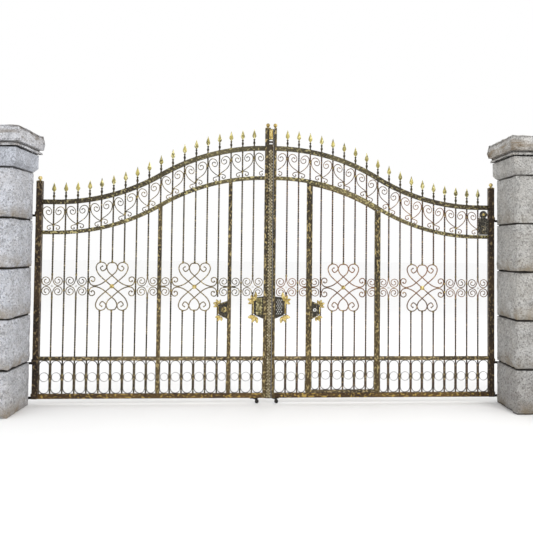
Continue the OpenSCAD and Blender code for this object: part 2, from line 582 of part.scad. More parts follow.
left_pillar();
left_pillar_neck();
left_pillar_cap();
right_pillar();
right_pillar_neck();
right_pillar_cap();
left_hinge_hooks();
right_hinge_hooks();
left_hinge_stile();
left_meeting_stile();
left_door_stiles();
left_top_rail();
left_curved_rail();
left_middle_rail();
left_bottom_rail();
left_pickets();
left_spears();
left_heart_scrolls();
left_scroll_band();
left_loops_and_rings();
left_ball_caps();
left_hinge_knuckles();
left_lock();
left_blind_lock();
cover_strip();
left_caster_plate();
left_caster_fork();
left_caster_wheel();
right_hinge_stile();
right_meeting_stile();
right_door_jambs();
right_top_rail();
right_curved_rail();
right_middle_rail();
right_bottom_rail();
right_pickets();
right_spears();
right_heart_scrolls();
right_scroll_band();
right_loops_and_rings();
right_ball_caps();
right_hinge_knuckles();
right_lock();
right_bracket();
right_caster_plate();
right_caster_fork();
right_caster_wheel();
wicket_stiles();
wicket_rails();
wicket_pickets();
wicket_scroll_band();
wicket_loops_and_rings();
wicket_lock();
wicket_hinge_eyes();
wicket_hinge_pins();
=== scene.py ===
"""A double-leaf wrought iron driveway gate with a wicket door, between two granite pillars."""
import math

import bpy
from mathutils import Matrix, Vector


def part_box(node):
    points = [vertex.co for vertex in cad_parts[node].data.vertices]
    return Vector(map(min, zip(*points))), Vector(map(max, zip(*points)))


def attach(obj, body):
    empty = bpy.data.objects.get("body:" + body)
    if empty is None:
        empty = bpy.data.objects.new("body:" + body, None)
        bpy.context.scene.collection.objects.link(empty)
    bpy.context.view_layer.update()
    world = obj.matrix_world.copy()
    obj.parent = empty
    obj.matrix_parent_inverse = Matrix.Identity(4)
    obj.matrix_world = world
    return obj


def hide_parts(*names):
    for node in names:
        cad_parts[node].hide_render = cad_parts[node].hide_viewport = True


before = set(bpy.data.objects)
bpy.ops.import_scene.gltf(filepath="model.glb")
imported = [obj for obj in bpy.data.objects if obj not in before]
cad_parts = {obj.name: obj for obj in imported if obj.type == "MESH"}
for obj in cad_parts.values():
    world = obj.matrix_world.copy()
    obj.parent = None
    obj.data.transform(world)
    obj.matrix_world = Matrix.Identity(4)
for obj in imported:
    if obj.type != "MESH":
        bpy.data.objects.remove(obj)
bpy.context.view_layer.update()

# ---- places, in metres, as in the part ----
strip_lo, strip_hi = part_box("cover_strip")
rail_lo, rail_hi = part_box("left_bottom_rail")
GATE_X = (strip_lo.x + strip_hi.x) / 2
GATE_Y = (rail_lo.y + rail_hi.y) / 2
BOTTOM_TOP = rail_hi.z
MIDDLE_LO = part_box("left_middle_rail")[0].z
MIDDLE_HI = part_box("left_middle_rail")[1].z
PITCH, STILE = 0.125, 0.060     # from picket to picket, and a stile's width
U_IN = 0.064                    # inner face of a meeting stile, from the gate's middle
U_END = 2.425                   # inner face of a hinge stile
RISE, RUN = 0.618, 2.230        # height and length of a leaf's curve
Z_TOP = 2.144                   # middle of the top rail at the hinge side
Z_CURVED = 1.818                # middle of the lower curved rail there
Z_BAND = 1.249                  # middle of the scroll band
UNDER_TOP, UNDER_SLIM = 0.025, 0.020    # half heights of the top rail and the lower curved rail
SPLIT, FRAMED = (1, 10, 16, 18), (5, 6, 7, 12, 13, 14)      # pickets cut by scrolls and by medallions
SPLIT_END, FRAMED_END = 0.112, 0.252    # and where they end, from the band's middle
ARC_R = (RUN * RUN + RISE * RISE) / (4 * RISE)
ARC_A = 2 * math.atan(RISE / RUN)
LEFT, RIGHT = -1, 1
SIDES = (("left", LEFT), ("right", RIGHT))


def picket(k):
    """Distance of picket k from the gate's middle."""
    return U_IN + 0.118 + (k - 1) * PITCH


def crown(u, f=0.0):
    """Height of the curved top over its hinge side, at distance f outside the rail's middle line."""
    middle, low = U_IN + RUN / 2, U_IN + RUN
    if u < middle - f * math.sin(ARC_A):
        return RISE - ARC_R + math.sqrt((ARC_R + f) ** 2 - max(u - U_IN, 0) ** 2)
    if u < low:
        return ARC_R - math.sqrt((ARC_R - f) ** 2 - (low - u) ** 2)
    return f


def at(side, u):
    return GATE_X + side * u


def within_leaf(path, side):
    """The part of a scroll's path that lies between a leaf's stiles."""
    return [p for p in path if U_IN + 0.002 < side * (p.x - GATE_X) < U_END - 0.002]


# ---- workbench ----
def pick(*objects):
    bpy.ops.object.select_all(action="DESELECT")
    for o in objects:
        o.select_set(True)
    bpy.context.view_layer.objects.active = objects[0]
    return objects[0]


def mode(name):
    bpy.ops.object.mode_set(mode=name)


def settle(*objects):
    pick(*objects)
    bpy.ops.object.transform_apply(location=True, rotation=True, scale=True)
    return objects[0]


def join(objects, name):
    piece = pick(*objects)
    if len(objects) > 1:
        bpy.ops.object.join()
    piece.name = piece.data.name = name
    return piece


def place_at(o, place, facing=0):
    """Puts an object at a place; facing 1 turns its top to the street, -1 to the drive, 0 leaves it up."""
    o.matrix_world = Matrix.Translation(place) @ Matrix.Rotation(facing * math.pi / 2, 4, "X")
    return o


def copy_of(master, place=(0, 0, 0), facing=0):
    """A copy with its own mesh."""
    o = master.copy()
    o.data = master.data.copy()
    bpy.context.collection.objects.link(o)
    return place_at(o, place, facing)


def copies(master, spots, name, facing=0):
    """One piece of a copy at each spot."""
    made = [copy_of(master, spot, facing) for spot in spots]
    settle(*made)
    return join(made, name)


def drop(*objects):
    for o in objects:
        bpy.data.objects.remove(o)


def modify(piece, kind, **settings):
    m = piece.modifiers.new(kind.lower(), kind)
    for key, value in settings.items():
        setattr(m, key, value)
    pick(piece)
    bpy.ops.object.modifier_apply(modifier=m.name)
    return piece


def outward(piece):
    pick(piece)
    mode("EDIT")
    bpy.ops.mesh.select_all(action="SELECT")
    bpy.ops.mesh.remove_doubles(threshold=0.00005)
    bpy.ops.mesh.normals_make_consistent(inside=False)
    mode("OBJECT")
    return piece


def choose_faces(piece, test):
    """In edit mode, selects the faces for which test(centre, normal) holds."""
    mode("EDIT")
    bpy.ops.mesh.select_mode(type="FACE")
    bpy.ops.mesh.select_all(action="DESELECT")
    mode("OBJECT")
    for face in piece.data.polygons:
        face.select = bool(test(face.center, face.normal))
    mode("EDIT")


def slab(x0, x1, y0, y1, z0, z1):
    """A block to start a shape from."""
    bpy.ops.object.select_all(action="DESELECT")
    bpy.ops.mesh.primitive_cube_add(size=1, location=((x0 + x1) / 2, (y0 + y1) / 2, (z0 + z1) / 2))
    o = bpy.context.object
    o.scale = (x1 - x0, y1 - y0, z1 - z0)
    return settle(o)


def turned(profile, sides=16, start=0.0):
    """A turned shape on the Z axis from (radius, height) pairs; four sides give a square stone or plate."""
    bpy.ops.object.select_all(action="DESELECT")
    bpy.ops.mesh.primitive_circle_add(vertices=sides, radius=profile[0][0], fill_type="NGON",
                                      location=(0, 0, profile[0][1]), rotation=(0, 0, start))
    mode("EDIT")
    for (ra, za), (rb, zb) in zip(profile, profile[1:]):
        bpy.ops.mesh.extrude_region_move(TRANSFORM_OT_translate={"value": (0, 0, zb - za)})
        bpy.ops.transform.resize(value=(rb / ra, rb / ra, 1), center_override=(0, 0, zb))
    bpy.ops.mesh.select_all(action="SELECT")
    bpy.ops.mesh.normals_make_consistent(inside=False)
    mode("OBJECT")
    return settle(bpy.context.object)


def smooth_shade(piece, angle):
    pick(piece)
    bpy.ops.object.shade_smooth_by_angle(angle=math.radians(angle))
    return piece


def scallop(piece, petals, depth, inner):
    """Waves a turned flower's edge in and out, beyond its inner radius."""
    for v in piece.data.vertices:
        if math.hypot(v.co.x, v.co.y) > inner:
            petal = 1 - depth * abs(math.sin(petals * math.atan2(v.co.y, v.co.x)))
            v.co.x, v.co.y = v.co.x * petal, v.co.y * petal


# ---- forged bars ----
QUARTER_TURN = 0.026            # length in which a picket's bar turns by a quarter
HALF_BAR = 0.0064


def twisted_module():
    """A quarter turn of twisted square bar, open at both ends."""
    o = slab(-HALF_BAR, HALF_BAR, -HALF_BAR, HALF_BAR, 0, QUARTER_TURN)
    choose_faces(o, lambda c, n: abs(n.z) > 0.5)
    bpy.ops.mesh.delete(type="FACE")
    bpy.ops.mesh.select_mode(type="EDGE")
    bpy.ops.mesh.select_all(action="DESELECT")
    mode("OBJECT")
    for edge in o.data.edges:
        a, b = (o.data.vertices[i].co for i in edge.vertices)
        edge.select = abs(a.z - b.z) > QUARTER_TURN / 2
    mode("EDIT")
    bpy.ops.mesh.subdivide(number_cuts=2)
    mode("OBJECT")
    return modify(o, "SIMPLE_DEFORM", deform_method="TWIST", deform_axis="Z", angle=math.pi / 2)


def twisted_bars(name, module, side, spans):
    """Twisted square bars at (u, low, high), as one piece."""
    bars = []
    for u, low, high in spans:
        turns = max(1, round((high - low) / QUARTER_TURN))
        o = copy_of(module, (at(side, u), GATE_Y, low))
        o.scale = (1, 1, (high - low) / (turns * QUARTER_TURN))
        m = o.modifiers.new("length", "ARRAY")
        m.count, m.relative_offset_displace, m.use_merge_vertices = turns, (0, 0, 1), True
        m.merge_threshold = 0.0002
        bars.append(o)
    pick(*bars)
    bpy.ops.object.convert(target="MESH")
    bpy.ops.object.transform_apply(location=True, rotation=True, scale=True)
    piece = join(bars, name)
    mode("EDIT")
    bpy.ops.mesh.select_all(action="SELECT")
    bpy.ops.mesh.fill_holes(sides=4)
    bpy.ops.mesh.normals_make_consistent(inside=False)
    mode("OBJECT")
    return piece


def flowing(points, steps):
    """A smooth path through the points."""
    path = []
    last = len(points) - 1
    for i in range(last):
        a, b, c, d = (Vector(points[min(max(j, 0), last)]) for j in (i - 1, i, i + 1, i + 2))
        for j in range(steps):
            t = j / steps
            path.append(0.5 * (2 * b + (c - a) * t + (2 * a - 5 * b + 4 * c - d) * t * t
                               + (3 * b - a - 3 * c + d) * t ** 3))
    return path + [Vector(points[-1])]


def bar_width(left):
    """How thick a scroll is at a distance before its end: it thins out and closes in a small bead."""
    if left > 0.06:
        return 1.0
    return 1.45 if left < 0.010 else 0.8 + left * 3.3


def forged(name, paths, half_width, half_depth=0.006, curl=True):
    """Flat forged bars along (x, z) paths in the gate's plane."""
    data = bpy.data.curves.new(name, "CURVE")
    data.dimensions, data.fill_mode, data.twist_mode = "3D", "FULL", "Z_UP"
    data.bevel_depth, data.bevel_resolution = half_width, 1
    data.extrude = half_depth - half_width
    data.use_fill_caps = True
    for path in paths:
        spline = data.splines.new("POLY")
        spline.points.add(len(path) - 1)
        for point, p in zip(spline.points, path):
            point.co = (p[0], p[1], 0, 1)
            point.radius = bar_width((path[-1] - p).length) if curl else 1.0
    o = bpy.data.objects.new(name, data)
    bpy.context.collection.objects.link(o)
    place_at(o, (0, GATE_Y, 0), 1)
    pick(o)
    bpy.ops.object.convert(target="MESH")
    return outward(settle(o))


# ---- shader nodes ----
def put(tree, socket, value):
    """Gives a socket a value, or joins it to another node's socket."""
    if isinstance(value, bpy.types.NodeSocket):
        tree.links.new(value, socket)
    else:
        socket.default_value = value


def add(tree, kind, inputs=None, **settings):
    n = tree.nodes.new(kind)
    for key, value in settings.items():
        setattr(n, key, value)
    for key, value in (inputs or {}).items():
        put(tree, n.inputs[key], value)
    return n


def noise(tree, place, scale, detail=2.0, **more):
    inputs = {"Vector": place, "Scale": scale, "Detail": detail, **more}
    return add(tree, "ShaderNodeTexNoise", inputs).outputs[0]


def spread(tree, value, low, high, first=0.0, last=1.0, **settings):
    """Turns low to high into first to last."""
    inputs = {0: value, 1: low, 2: high, 3: first, 4: last}
    return add(tree, "ShaderNodeMapRange", inputs, **settings).outputs[0]


def ramp(tree, factor, *stops):
    n = add(tree, "ShaderNodeValToRGB", {0: factor})
    for element, (place, colour) in zip(n.color_ramp.elements, stops):
        element.position = place
        element.color = (*colour, 1)
    return n.outputs[0]


def maths(tree, operation, a, b=0.0, clamp=False):
    return add(tree, "ShaderNodeMath", {0: a, 1: b}, operation=operation, use_clamp=clamp).outputs[0]


def times(tree, a, b, clamp=False):
    return maths(tree, "MULTIPLY", a, b, clamp)


def mix(tree, factor, a, b, blend="MIX"):
    n = add(tree, "ShaderNodeMix", data_type="RGBA", blend_type=blend)
    for socket, value in ((n.inputs[0], factor), (n.inputs[6], a), (n.inputs[7], b)):
        put(tree, socket, (*value, 1) if isinstance(value, tuple) else value)
    return n.outputs[2]


def height_of(tree, place):
    return add(tree, "ShaderNodeSeparateXYZ", {0: place}).outputs[2]


def group(name, inputs, outputs):
    """An empty node group with its sockets: (tree, input sockets, output sockets)."""
    g = bpy.data.node_groups.new(name, "ShaderNodeTree")
    for title, kind, value in inputs:
        socket = g.interface.new_socket(name=title, in_out="INPUT", socket_type=kind)
        if value is not None:
            socket.default_value = value
    for title in outputs:
        g.interface.new_socket(name=title, in_out="OUTPUT", socket_type=FLOAT)
    return g, g.nodes.new("NodeGroupInput").outputs, g.nodes.new("NodeGroupOutput").inputs


FLOAT, VECTOR = "NodeSocketFloat", "NodeSocketVector"


def hammer_marks_group():
    """Dents of a hammered or cast surface: how high each spot stands, and its crests, rubbed bright."""
    g, given, out = group("hammer_marks", [("Place", VECTOR, None), ("Dents per metre", FLOAT, 60.0),
                                           ("Stretch", VECTOR, (1, 1, 0.6)), ("Bright", FLOAT, 0.5)],
                          ["Crest", "Height"])
    place = add(g, "ShaderNodeVectorMath", {0: given["Place"], 1: given["Stretch"]},
                operation="MULTIPLY").outputs[0]
    warp = add(g, "ShaderNodeTexNoise", {"Vector": place, "Scale": 14.0, "Detail": 2.0}).outputs["Color"]
    bent = add(g, "ShaderNodeVectorMath", {0: warp, 1: (0.03, 0.03, 0.03), 2: place},
               operation="MULTIPLY_ADD").outputs[0]
    cells = add(g, "ShaderNodeTexVoronoi", {"Vector": bent, "Scale": given["Dents per metre"]},
                feature="SMOOTH_F1").outputs["Distance"]
    rough = noise(g, place, times(g, given["Dents per metre"], 1.7), 3.0, Roughness=0.65)
    height = maths(g, "ADD", times(g, cells, 0.8), times(g, rough, 0.55))
    put(g, out["Height"], height)
    low = maths(g, "SUBTRACT", 0.92, times(g, given["Bright"], 0.5))
    put(g, out["Crest"], spread(g, height, low, maths(g, "ADD", low, 0.14), interpolation_type="SMOOTHSTEP"))
    return g


def drift_group():
    """Slow change of tone along the work, from one bar to the next, and fine specks."""
    g, given, out = group("drift", [("Place", VECTOR, None), ("Size", FLOAT, 3.0)], ["Tone", "Speck"])
    put(g, out["Tone"], spread(g, noise(g, given["Place"], given["Size"]), 0.36, 0.64))
    put(g, out["Speck"], spread(g, noise(g, given["Place"], 170.0), 0.58, 0.68))
    return g


def stone_grain_group():
    """Granite: pale and dark crystals, soft clouds of tone, and the pitted surface."""
    g, given, out = group("stone_grain", [("Place", VECTOR, None), ("Pits", FLOAT, 1.0)],
                          ["Cloud", "Blotches", "Dark crystals", "Pale crystals", "Height"])
    place = given["Place"]
    cloud = noise(g, place, 7.0, 5.0, Roughness=0.6)
    flecks = noise(g, place, 74.0, 3.0, Roughness=0.7)
    pits = add(g, "ShaderNodeTexVoronoi", {"Vector": place, "Scale": 60.0}).outputs["Distance"]
    put(g, out["Cloud"], cloud)
    put(g, out["Blotches"], spread(g, noise(g, place, 44.0, 3.0, Roughness=0.7), 0.51, 0.60))
    put(g, out["Dark crystals"], spread(g, flecks, 0.43, 0.34))
    put(g, out["Pale crystals"], spread(g, flecks, 0.56, 0.66))
    put(g, out["Height"], maths(g, "ADD", times(g, times(g, pits, given["Pits"]), 0.5),
                                maths(g, "ADD", flecks, cloud)))
    return g


HAMMER, DRIFT, STONE = hammer_marks_group(), drift_group(), stone_grain_group()


def from_group(tree, tool, **values):
    n = add(tree, "ShaderNodeGroup", node_tree=tool)
    for key, value in values.items():
        put(tree, n.inputs[key.replace("_", " ")], value)
    return n.outputs


def begin(name):
    m = bpy.data.materials.new(name)
    m.use_nodes = True
    tree = m.node_tree
    return m, tree, tree.nodes["Principled BSDF"], add(tree, "ShaderNodeTexCoord").outputs["Object"]


def bump(tree, shader, height, strength, distance):
    n = add(tree, "ShaderNodeBump", {"Strength": strength, "Distance": distance, "Height": height})
    tree.links.new(n.outputs[0], shader.inputs["Normal"])


# ---- finishes ----
def painted_iron(name, dark, warm, bright, dents=60.0, stretch=(1, 1, 0.6), shine=0.5, metal=0.25,
                 roughness=(0.38, 0.6), depth=0.0025, drift=2.6, speck=0.55, low_tone=None, low_span=None,
                 twist_shade_period=None):
    """Iron in dark paint, brushed with bronze: the crests of its hammer marks carry the bright colour."""
    m, t, shader, place = begin(name)
    marks = from_group(t, HAMMER, Place=place, Dents_per_metre=dents, Stretch=stretch, Bright=shine)
    tone = from_group(t, DRIFT, Place=place, Size=drift)
    base = mix(t, tone["Tone"], dark, warm)
    if low_tone:
        base = mix(t, spread(t, height_of(t, place), *low_span, 0.0, 0.8), base, low_tone)
    colour = mix(t, marks["Crest"], base, bright)
    colour = mix(t, times(t, tone["Speck"], speck), colour, bright)
    # painted shade: every other quarter turn of a twisted bar is darkened, as light falls on its facets
    if twist_shade_period:
        wave = maths(t, "PINGPONG", height_of(t, place), twist_shade_period / 2)
        colour = mix(t, spread(t, wave, twist_shade_period * 0.32, twist_shade_period * 0.16, 0.0, 0.92), colour, dark)
    put(t, shader.inputs["Base Color"], colour)
    put(t, shader.inputs["Roughness"], spread(t, marks["Crest"], 0.0, 1.0, roughness[1], roughness[0]))
    shader.inputs["Metallic"].default_value = metal
    bump(t, shader, marks["Height"], 0.8, depth)
    return m


def granite(name, pale, deep, stain, stain_amount, pits=1.0, joints=(), joint_and_shade_lines=(), streaks=0.0, band=None,
            shade_low=None):
    """Granite with crystals, clouds and brown weather stains that gather above the joints."""
    m, t, shader, place = begin(name)
    grain = from_group(t, STONE, Place=place, Pits=pits)
    colour = ramp(t, grain["Cloud"], (0.33, deep), (0.62, pale))
    for kind, amount, tint in (("Blotches", 0.75, tuple(c * 0.5 for c in deep)),
                               ("Dark crystals", 0.65, tuple(c * 0.35 for c in deep)),
                               ("Pale crystals", 0.7, tuple(min(1, c * 1.35) for c in pale))):
        colour = mix(t, times(t, grain[kind], amount), colour, tint)
    height = height_of(t, place)
    patchy = spread(t, noise(t, place, 5.0, 6.0, Roughness=0.7, Distortion=0.6), 0.42, 0.66)
    stained = times(t, patchy, 0.25)
    for joint in joints:
        above = times(t, spread(t, height, joint, joint + 0.15, 1.0, 0.0),
                      maths(t, "GREATER_THAN", height, joint))
        stained = maths(t, "ADD", stained, times(t, above, maths(t, "ADD", patchy, 0.25)))
    if streaks:
        slanted = add(t, "ShaderNodeMapping", {0: place, 2: (0.0, 0.5, 0.0), 3: (1.2, 1.8, 9.0)}).outputs[0]
        stained = maths(t, "ADD", stained, spread(t, noise(t, slanted, 2.6, 5.0), 0.50, 0.62, 0.0, streaks))
    if band:
        inside = times(t, maths(t, "GREATER_THAN", height, band[0]), maths(t, "LESS_THAN", height, band[1]))
        stained = maths(t, "ADD", stained, times(t, inside, maths(t, "ADD", patchy, 0.35)))
    colour = mix(t, times(t, stained, stain_amount, clamp=True), colour, stain)
    # painted shade: a dark band at each given height, partly the dark joints' own colour, partly the shade in
    # the joints, in the groove under a cap's overhang and at the right pillar's foot
    for line in joint_and_shade_lines:
        away = maths(t, "ABSOLUTE", maths(t, "SUBTRACT", height, line))
        colour = mix(t, spread(t, away, 0.015, 0.005, 0.0, 0.7), colour, (0.055, 0.047, 0.040))
    if shade_low:
        colour = mix(t, spread(t, height, 1.1, 0.0, 0.0, 0.75), colour, shade_low, "MULTIPLY")
    put(t, shader.inputs["Base Color"], colour)
    put(t, shader.inputs["Roughness"], spread(t, grain["Cloud"], 0.0, 1.0, 0.75, 0.95))
    shader.inputs["Specular IOR Level"].default_value = 0.25
    bump(t, shader, grain["Height"], 0.9, 0.018)
    return m


def ring_iron(name, ring, upright, turn):
    """The panel's grey rings, and its loops' brown uprights, with painted shadow where they turn under a rail.
    """
    m, t, shader, place = begin(name)
    marks = from_group(t, HAMMER, Place=place, Dents_per_metre=90.0, Stretch=(1, 1, 1), Bright=0.5)
    axes = add(t, "ShaderNodeSeparateXYZ", {0: place}).outputs
    from_middle = maths(t, "ABSOLUTE", maths(t, "SUBTRACT", axes[0], GATE_X))
    in_gap = maths(t, "PINGPONG", maths(t, "SUBTRACT", from_middle, picket(0) + PITCH / 2), PITCH / 2)
    height = maths(t, "ABSOLUTE", maths(t, "SUBTRACT", axes[2], (BOTTOM_TOP + MIDDLE_LO) / 2))
    ringed = times(t, maths(t, "LESS_THAN", height, 0.050), maths(t, "LESS_THAN", in_gap, 0.041))
    # painted shadow: the loops go nearly black near the rails, where they turn under them
    colour = mix(t, spread(t, height, 0.105, 0.140), upright, turn)
    colour = mix(t, ringed, colour, ring)
    colour = mix(t, times(t, marks["Crest"], 0.4), colour, (0.44, 0.40, 0.33))
    put(t, shader.inputs["Base Color"], colour)
    put(t, shader.inputs["Roughness"], spread(t, marks["Crest"], 0.0, 1.0, 0.6, 0.4))
    shader.inputs["Metallic"].default_value = 0.2
    bump(t, shader, marks["Height"], 0.7, 0.001)
    return m


JOINTS = (0.0, 0.456, 0.953, 1.450, 1.947)      # feet of a pillar's courses
NECK_FOOT, CAP_FOOT, CAP_TOP = 2.444, 2.645, 2.852
BEDS = JOINTS[1:] + (NECK_FOOT, CAP_FOOT)
DRIP = 2.683                    # the groove under a cap's overhang
# the twisted bars get painted shade on every other quarter turn
TWIST = {"dents": 42, "stretch": (1, 1, 1), "drift": 3.5, "depth": 0.0015, "twist_shade_period": QUARTER_TURN}
SCROLL = {"drift": 2.2, "depth": 0.001, "metal": 0.3}
CAST = {"metal": 0.35, "roughness": (0.3, 0.45), "depth": 0.0012}
FITTING = {"drift": 12.0, "depth": 0.001}
finish = {
    "frame": painted_iron(
        "olive_bronze_frame", (0.012, 0.008, 0.004), (0.070, 0.052, 0.024), (0.40, 0.31, 0.13), dents=66,
        shine=0.53, low_tone=(0.088, 0.056, 0.018), low_span=(1.3, 0.6)),
    "dark_frame": painted_iron(
        "dark_bronze_frame", (0.010, 0.004, 0.002), (0.050, 0.028, 0.013), (0.23, 0.165, 0.08), dents=62,
        shine=0.48),
    "top": painted_iron(
        "olive_top_rail", (0.026, 0.020, 0.009), (0.095, 0.078, 0.036), (0.30, 0.26, 0.12), dents=62,
        stretch=(0.8, 1, 1), shine=0.48, low_tone=(0.022, 0.012, 0.004), low_span=(2.6, 2.15)),
    "golden": painted_iron(
        "gilded_rail", (0.034, 0.027, 0.010), (0.125, 0.098, 0.042), (0.46, 0.40, 0.18), dents=64,
        stretch=(0.9, 1, 1), shine=0.53, low_tone=(0.030, 0.019, 0.008), low_span=(2.18, 1.80)),
    "mid_rail": painted_iron(
        "brown_middle_rail", (0.028, 0.019, 0.009), (0.12, 0.086, 0.040), (0.42, 0.32, 0.15), dents=64,
        stretch=(0.9, 1, 1), shine=0.52),
    "low_rail": painted_iron(
        "brown_gold_rail", (0.026, 0.010, 0.003), (0.115, 0.062, 0.014), (0.42, 0.28, 0.065), dents=58,
        stretch=(0.7, 1, 1)),
    "left_bars": painted_iron(
        "olive_twist", (0.022, 0.016, 0.008), (0.13, 0.098, 0.050), (0.38, 0.30, 0.16), **TWIST),
    "right_bars": painted_iron(
        "red_brown_twist", (0.024, 0.014, 0.010), (0.14, 0.072, 0.046), (0.36, 0.24, 0.13), **TWIST),
    "left_scrolls": painted_iron(
        "olive_scroll", (0.060, 0.050, 0.030), (0.20, 0.15, 0.085), (0.44, 0.36, 0.20), **SCROLL),
    "right_scrolls": painted_iron(
        "copper_scroll", (0.085, 0.050, 0.030), (0.27, 0.14, 0.085), (0.46, 0.32, 0.18), **SCROLL),
    "gold": painted_iron(
        "leaf_gold", (0.20, 0.13, 0.03), (0.56, 0.41, 0.11), (0.82, 0.68, 0.30), dents=70, shine=0.6,
        drift=14.0, **CAST),
    "spear": painted_iron(
        "green_gold", (0.10, 0.085, 0.022), (0.46, 0.39, 0.11), (0.72, 0.66, 0.32), dents=75, shine=0.55,
        drift=16.0, **CAST),
    "shank": painted_iron(
        "dark_shank", (0.008, 0.006, 0.003), (0.040, 0.030, 0.012), (0.34, 0.27, 0.10), dents=80,
        shine=0.35, drift=16.0, depth=0.001),
    "collar": painted_iron(
        "gilded_collar", (0.018, 0.011, 0.004), (0.16, 0.115, 0.035), (0.56, 0.45, 0.19), dents=90,
        shine=0.6, drift=16.0, depth=0.001),
    # the ring finish's last colour is painted shadow where the loops turn under the rails
    "ring": ring_iron(
        "ring_and_loop", (0.42, 0.42, 0.43), (0.095, 0.068, 0.042), (0.020, 0.016, 0.013)),
    "lock": painted_iron(
        "lock_paint", (0.010, 0.008, 0.005), (0.028, 0.023, 0.015), (0.26, 0.23, 0.16), shine=0.35, **FITTING),
    "bracket": painted_iron(
        "bracket_paint", (0.010, 0.009, 0.007), (0.030, 0.026, 0.020), (0.46, 0.42, 0.33), shine=0.45,
        speck=0.9, **FITTING),
    "weave": painted_iron(
        "green_gold_weave", (0.10, 0.085, 0.024), (0.44, 0.37, 0.13), (0.74, 0.66, 0.34), shine=0.55,
        drift=18.0, depth=0.0008),
    "strip": painted_iron(
        "strip_bronze", (0.012, 0.008, 0.004), (0.040, 0.028, 0.013), (0.20, 0.15, 0.08), shine=0.3,
        drift=5.0, speck=0.3, low_tone=(0.060, 0.036, 0.010), low_span=(1.4, 0.7)),
    "stud": painted_iron(
        "strip_gold", (0.15, 0.115, 0.050), (0.36, 0.30, 0.16), (0.62, 0.56, 0.40), stretch=(1, 1, 1),
        shine=0.55, drift=9.0, depth=0.0008),
    "black": painted_iron(
        "black_fitting", (0.008, 0.007, 0.006), (0.025, 0.021, 0.018), (0.10, 0.09, 0.075), dents=80,
        shine=0.35, metal=0.4),
    "pale": painted_iron(
        "pale_enamel", (0.52, 0.52, 0.50), (0.74, 0.74, 0.72), (0.90, 0.90, 0.88), dents=140, metal=0.0,
        drift=14.0, depth=0.0006),
    "tyre": painted_iron(
        "caster_rubber", (0.010, 0.010, 0.010), (0.022, 0.021, 0.020), (0.07, 0.065, 0.06), dents=90,
        shine=0.3, metal=0.0, roughness=(0.6, 0.85)),
    # the left pillar's granite and cap are paler than the right's: partly the stones' own colour, partly
    # painted light, the left pillar lit more and the right one shaded
    "left_stone": granite(
        "blue_grey_granite_with_painted_light", (0.74, 0.76, 0.83), (0.52, 0.535, 0.58), (0.36, 0.31, 0.25), 0.85, pits=1.4,
        joints=JOINTS, joint_and_shade_lines=BEDS, shade_low=(0.82, 0.79, 0.74)),
    "right_stone": granite(
        "warm_grey_granite_with_painted_shade", (0.60, 0.595, 0.58), (0.41, 0.40, 0.385), (0.31, 0.26, 0.19), 0.85, pits=1.6,
        joints=JOINTS, joint_and_shade_lines=BEDS + (0.006,), shade_low=(0.66, 0.65, 0.66)),
    "dressed": granite(
        "dressed_granite", (0.60, 0.625, 0.69), (0.45, 0.47, 0.52), (0.28, 0.23, 0.18), 0.3, pits=0.7,
        joint_and_shade_lines=BEDS),
    "left_cap": granite(
        "weathered_left_cap_with_painted_light", (0.88, 0.89, 0.94), (0.62, 0.625, 0.655), (0.24, 0.20, 0.165), 0.8, pits=1.5,
        streaks=0.8, joint_and_shade_lines=(DRIP,)),
    "right_cap": granite(
        "weathered_right_cap_with_painted_shade", (0.68, 0.67, 0.65), (0.44, 0.43, 0.415), (0.27, 0.215, 0.155), 0.6, pits=1.5,
        streaks=0.7, band=(2.690, 2.775), joint_and_shade_lines=(DRIP,)),
    "mortar": granite(
        "dark_mortar", (0.040, 0.034, 0.029), (0.020, 0.017, 0.014), (0.02, 0.015, 0.012), 0.3),
}


def dress(piece, key, body, slot, *nodes):
    """Gives a finished piece its material and its body, and hides the CAD nodes that it stands for; its slot is
    not used.
    """
    piece.data.materials.clear()
    piece.data.materials.append(finish[key])
    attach(piece, body)
    if nodes:
        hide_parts(*nodes)
    return piece


# ---- pillars ----
def rough_texture(name, size):
    texture = bpy.data.textures.new(name, "CLOUDS")
    texture.noise_scale, texture.noise_depth = size, 3
    return texture


HEWN, CHIPS = rough_texture("hewn_face", 0.13), rough_texture("chips", 0.035)
HALF = 0.280                    # half a pillar's width
REACH = 0.369                   # the farthest that a cap stands out from a pillar's middle
MARGIN, FIELD, SWELL = 0.034, 0.070, 0.016      # a stone's edge, its inner edge, and how far it stands out
BED = 0.006                     # half a mortar bed


def clamped(value, low, high):
    return min(max(value, low), high)


def hew(block, z0, z1, amount):
    """Knocks a stone's faces about, less near the rear, where the gate's hooks are let in."""
    loose = block.vertex_groups.new(name="loose")
    for v in block.data.vertices:
        v.co.z = clamped(v.co.z, z0, z1)
        loose.add([v.index], clamped((HALF - 0.005 - v.co.y) / 0.06, 0.0, 1.0), "REPLACE")
    for texture, strength in ((HEWN, amount), (CHIPS, amount * 0.5)):
        modify(block, "DISPLACE", texture=texture, texture_coords="GLOBAL", strength=strength,
               mid_level=0.62, vertex_group="loose")
    block.vertex_groups.clear()
    for v in block.data.vertices:
        v.co.z = clamped(v.co.z, z0, z1)


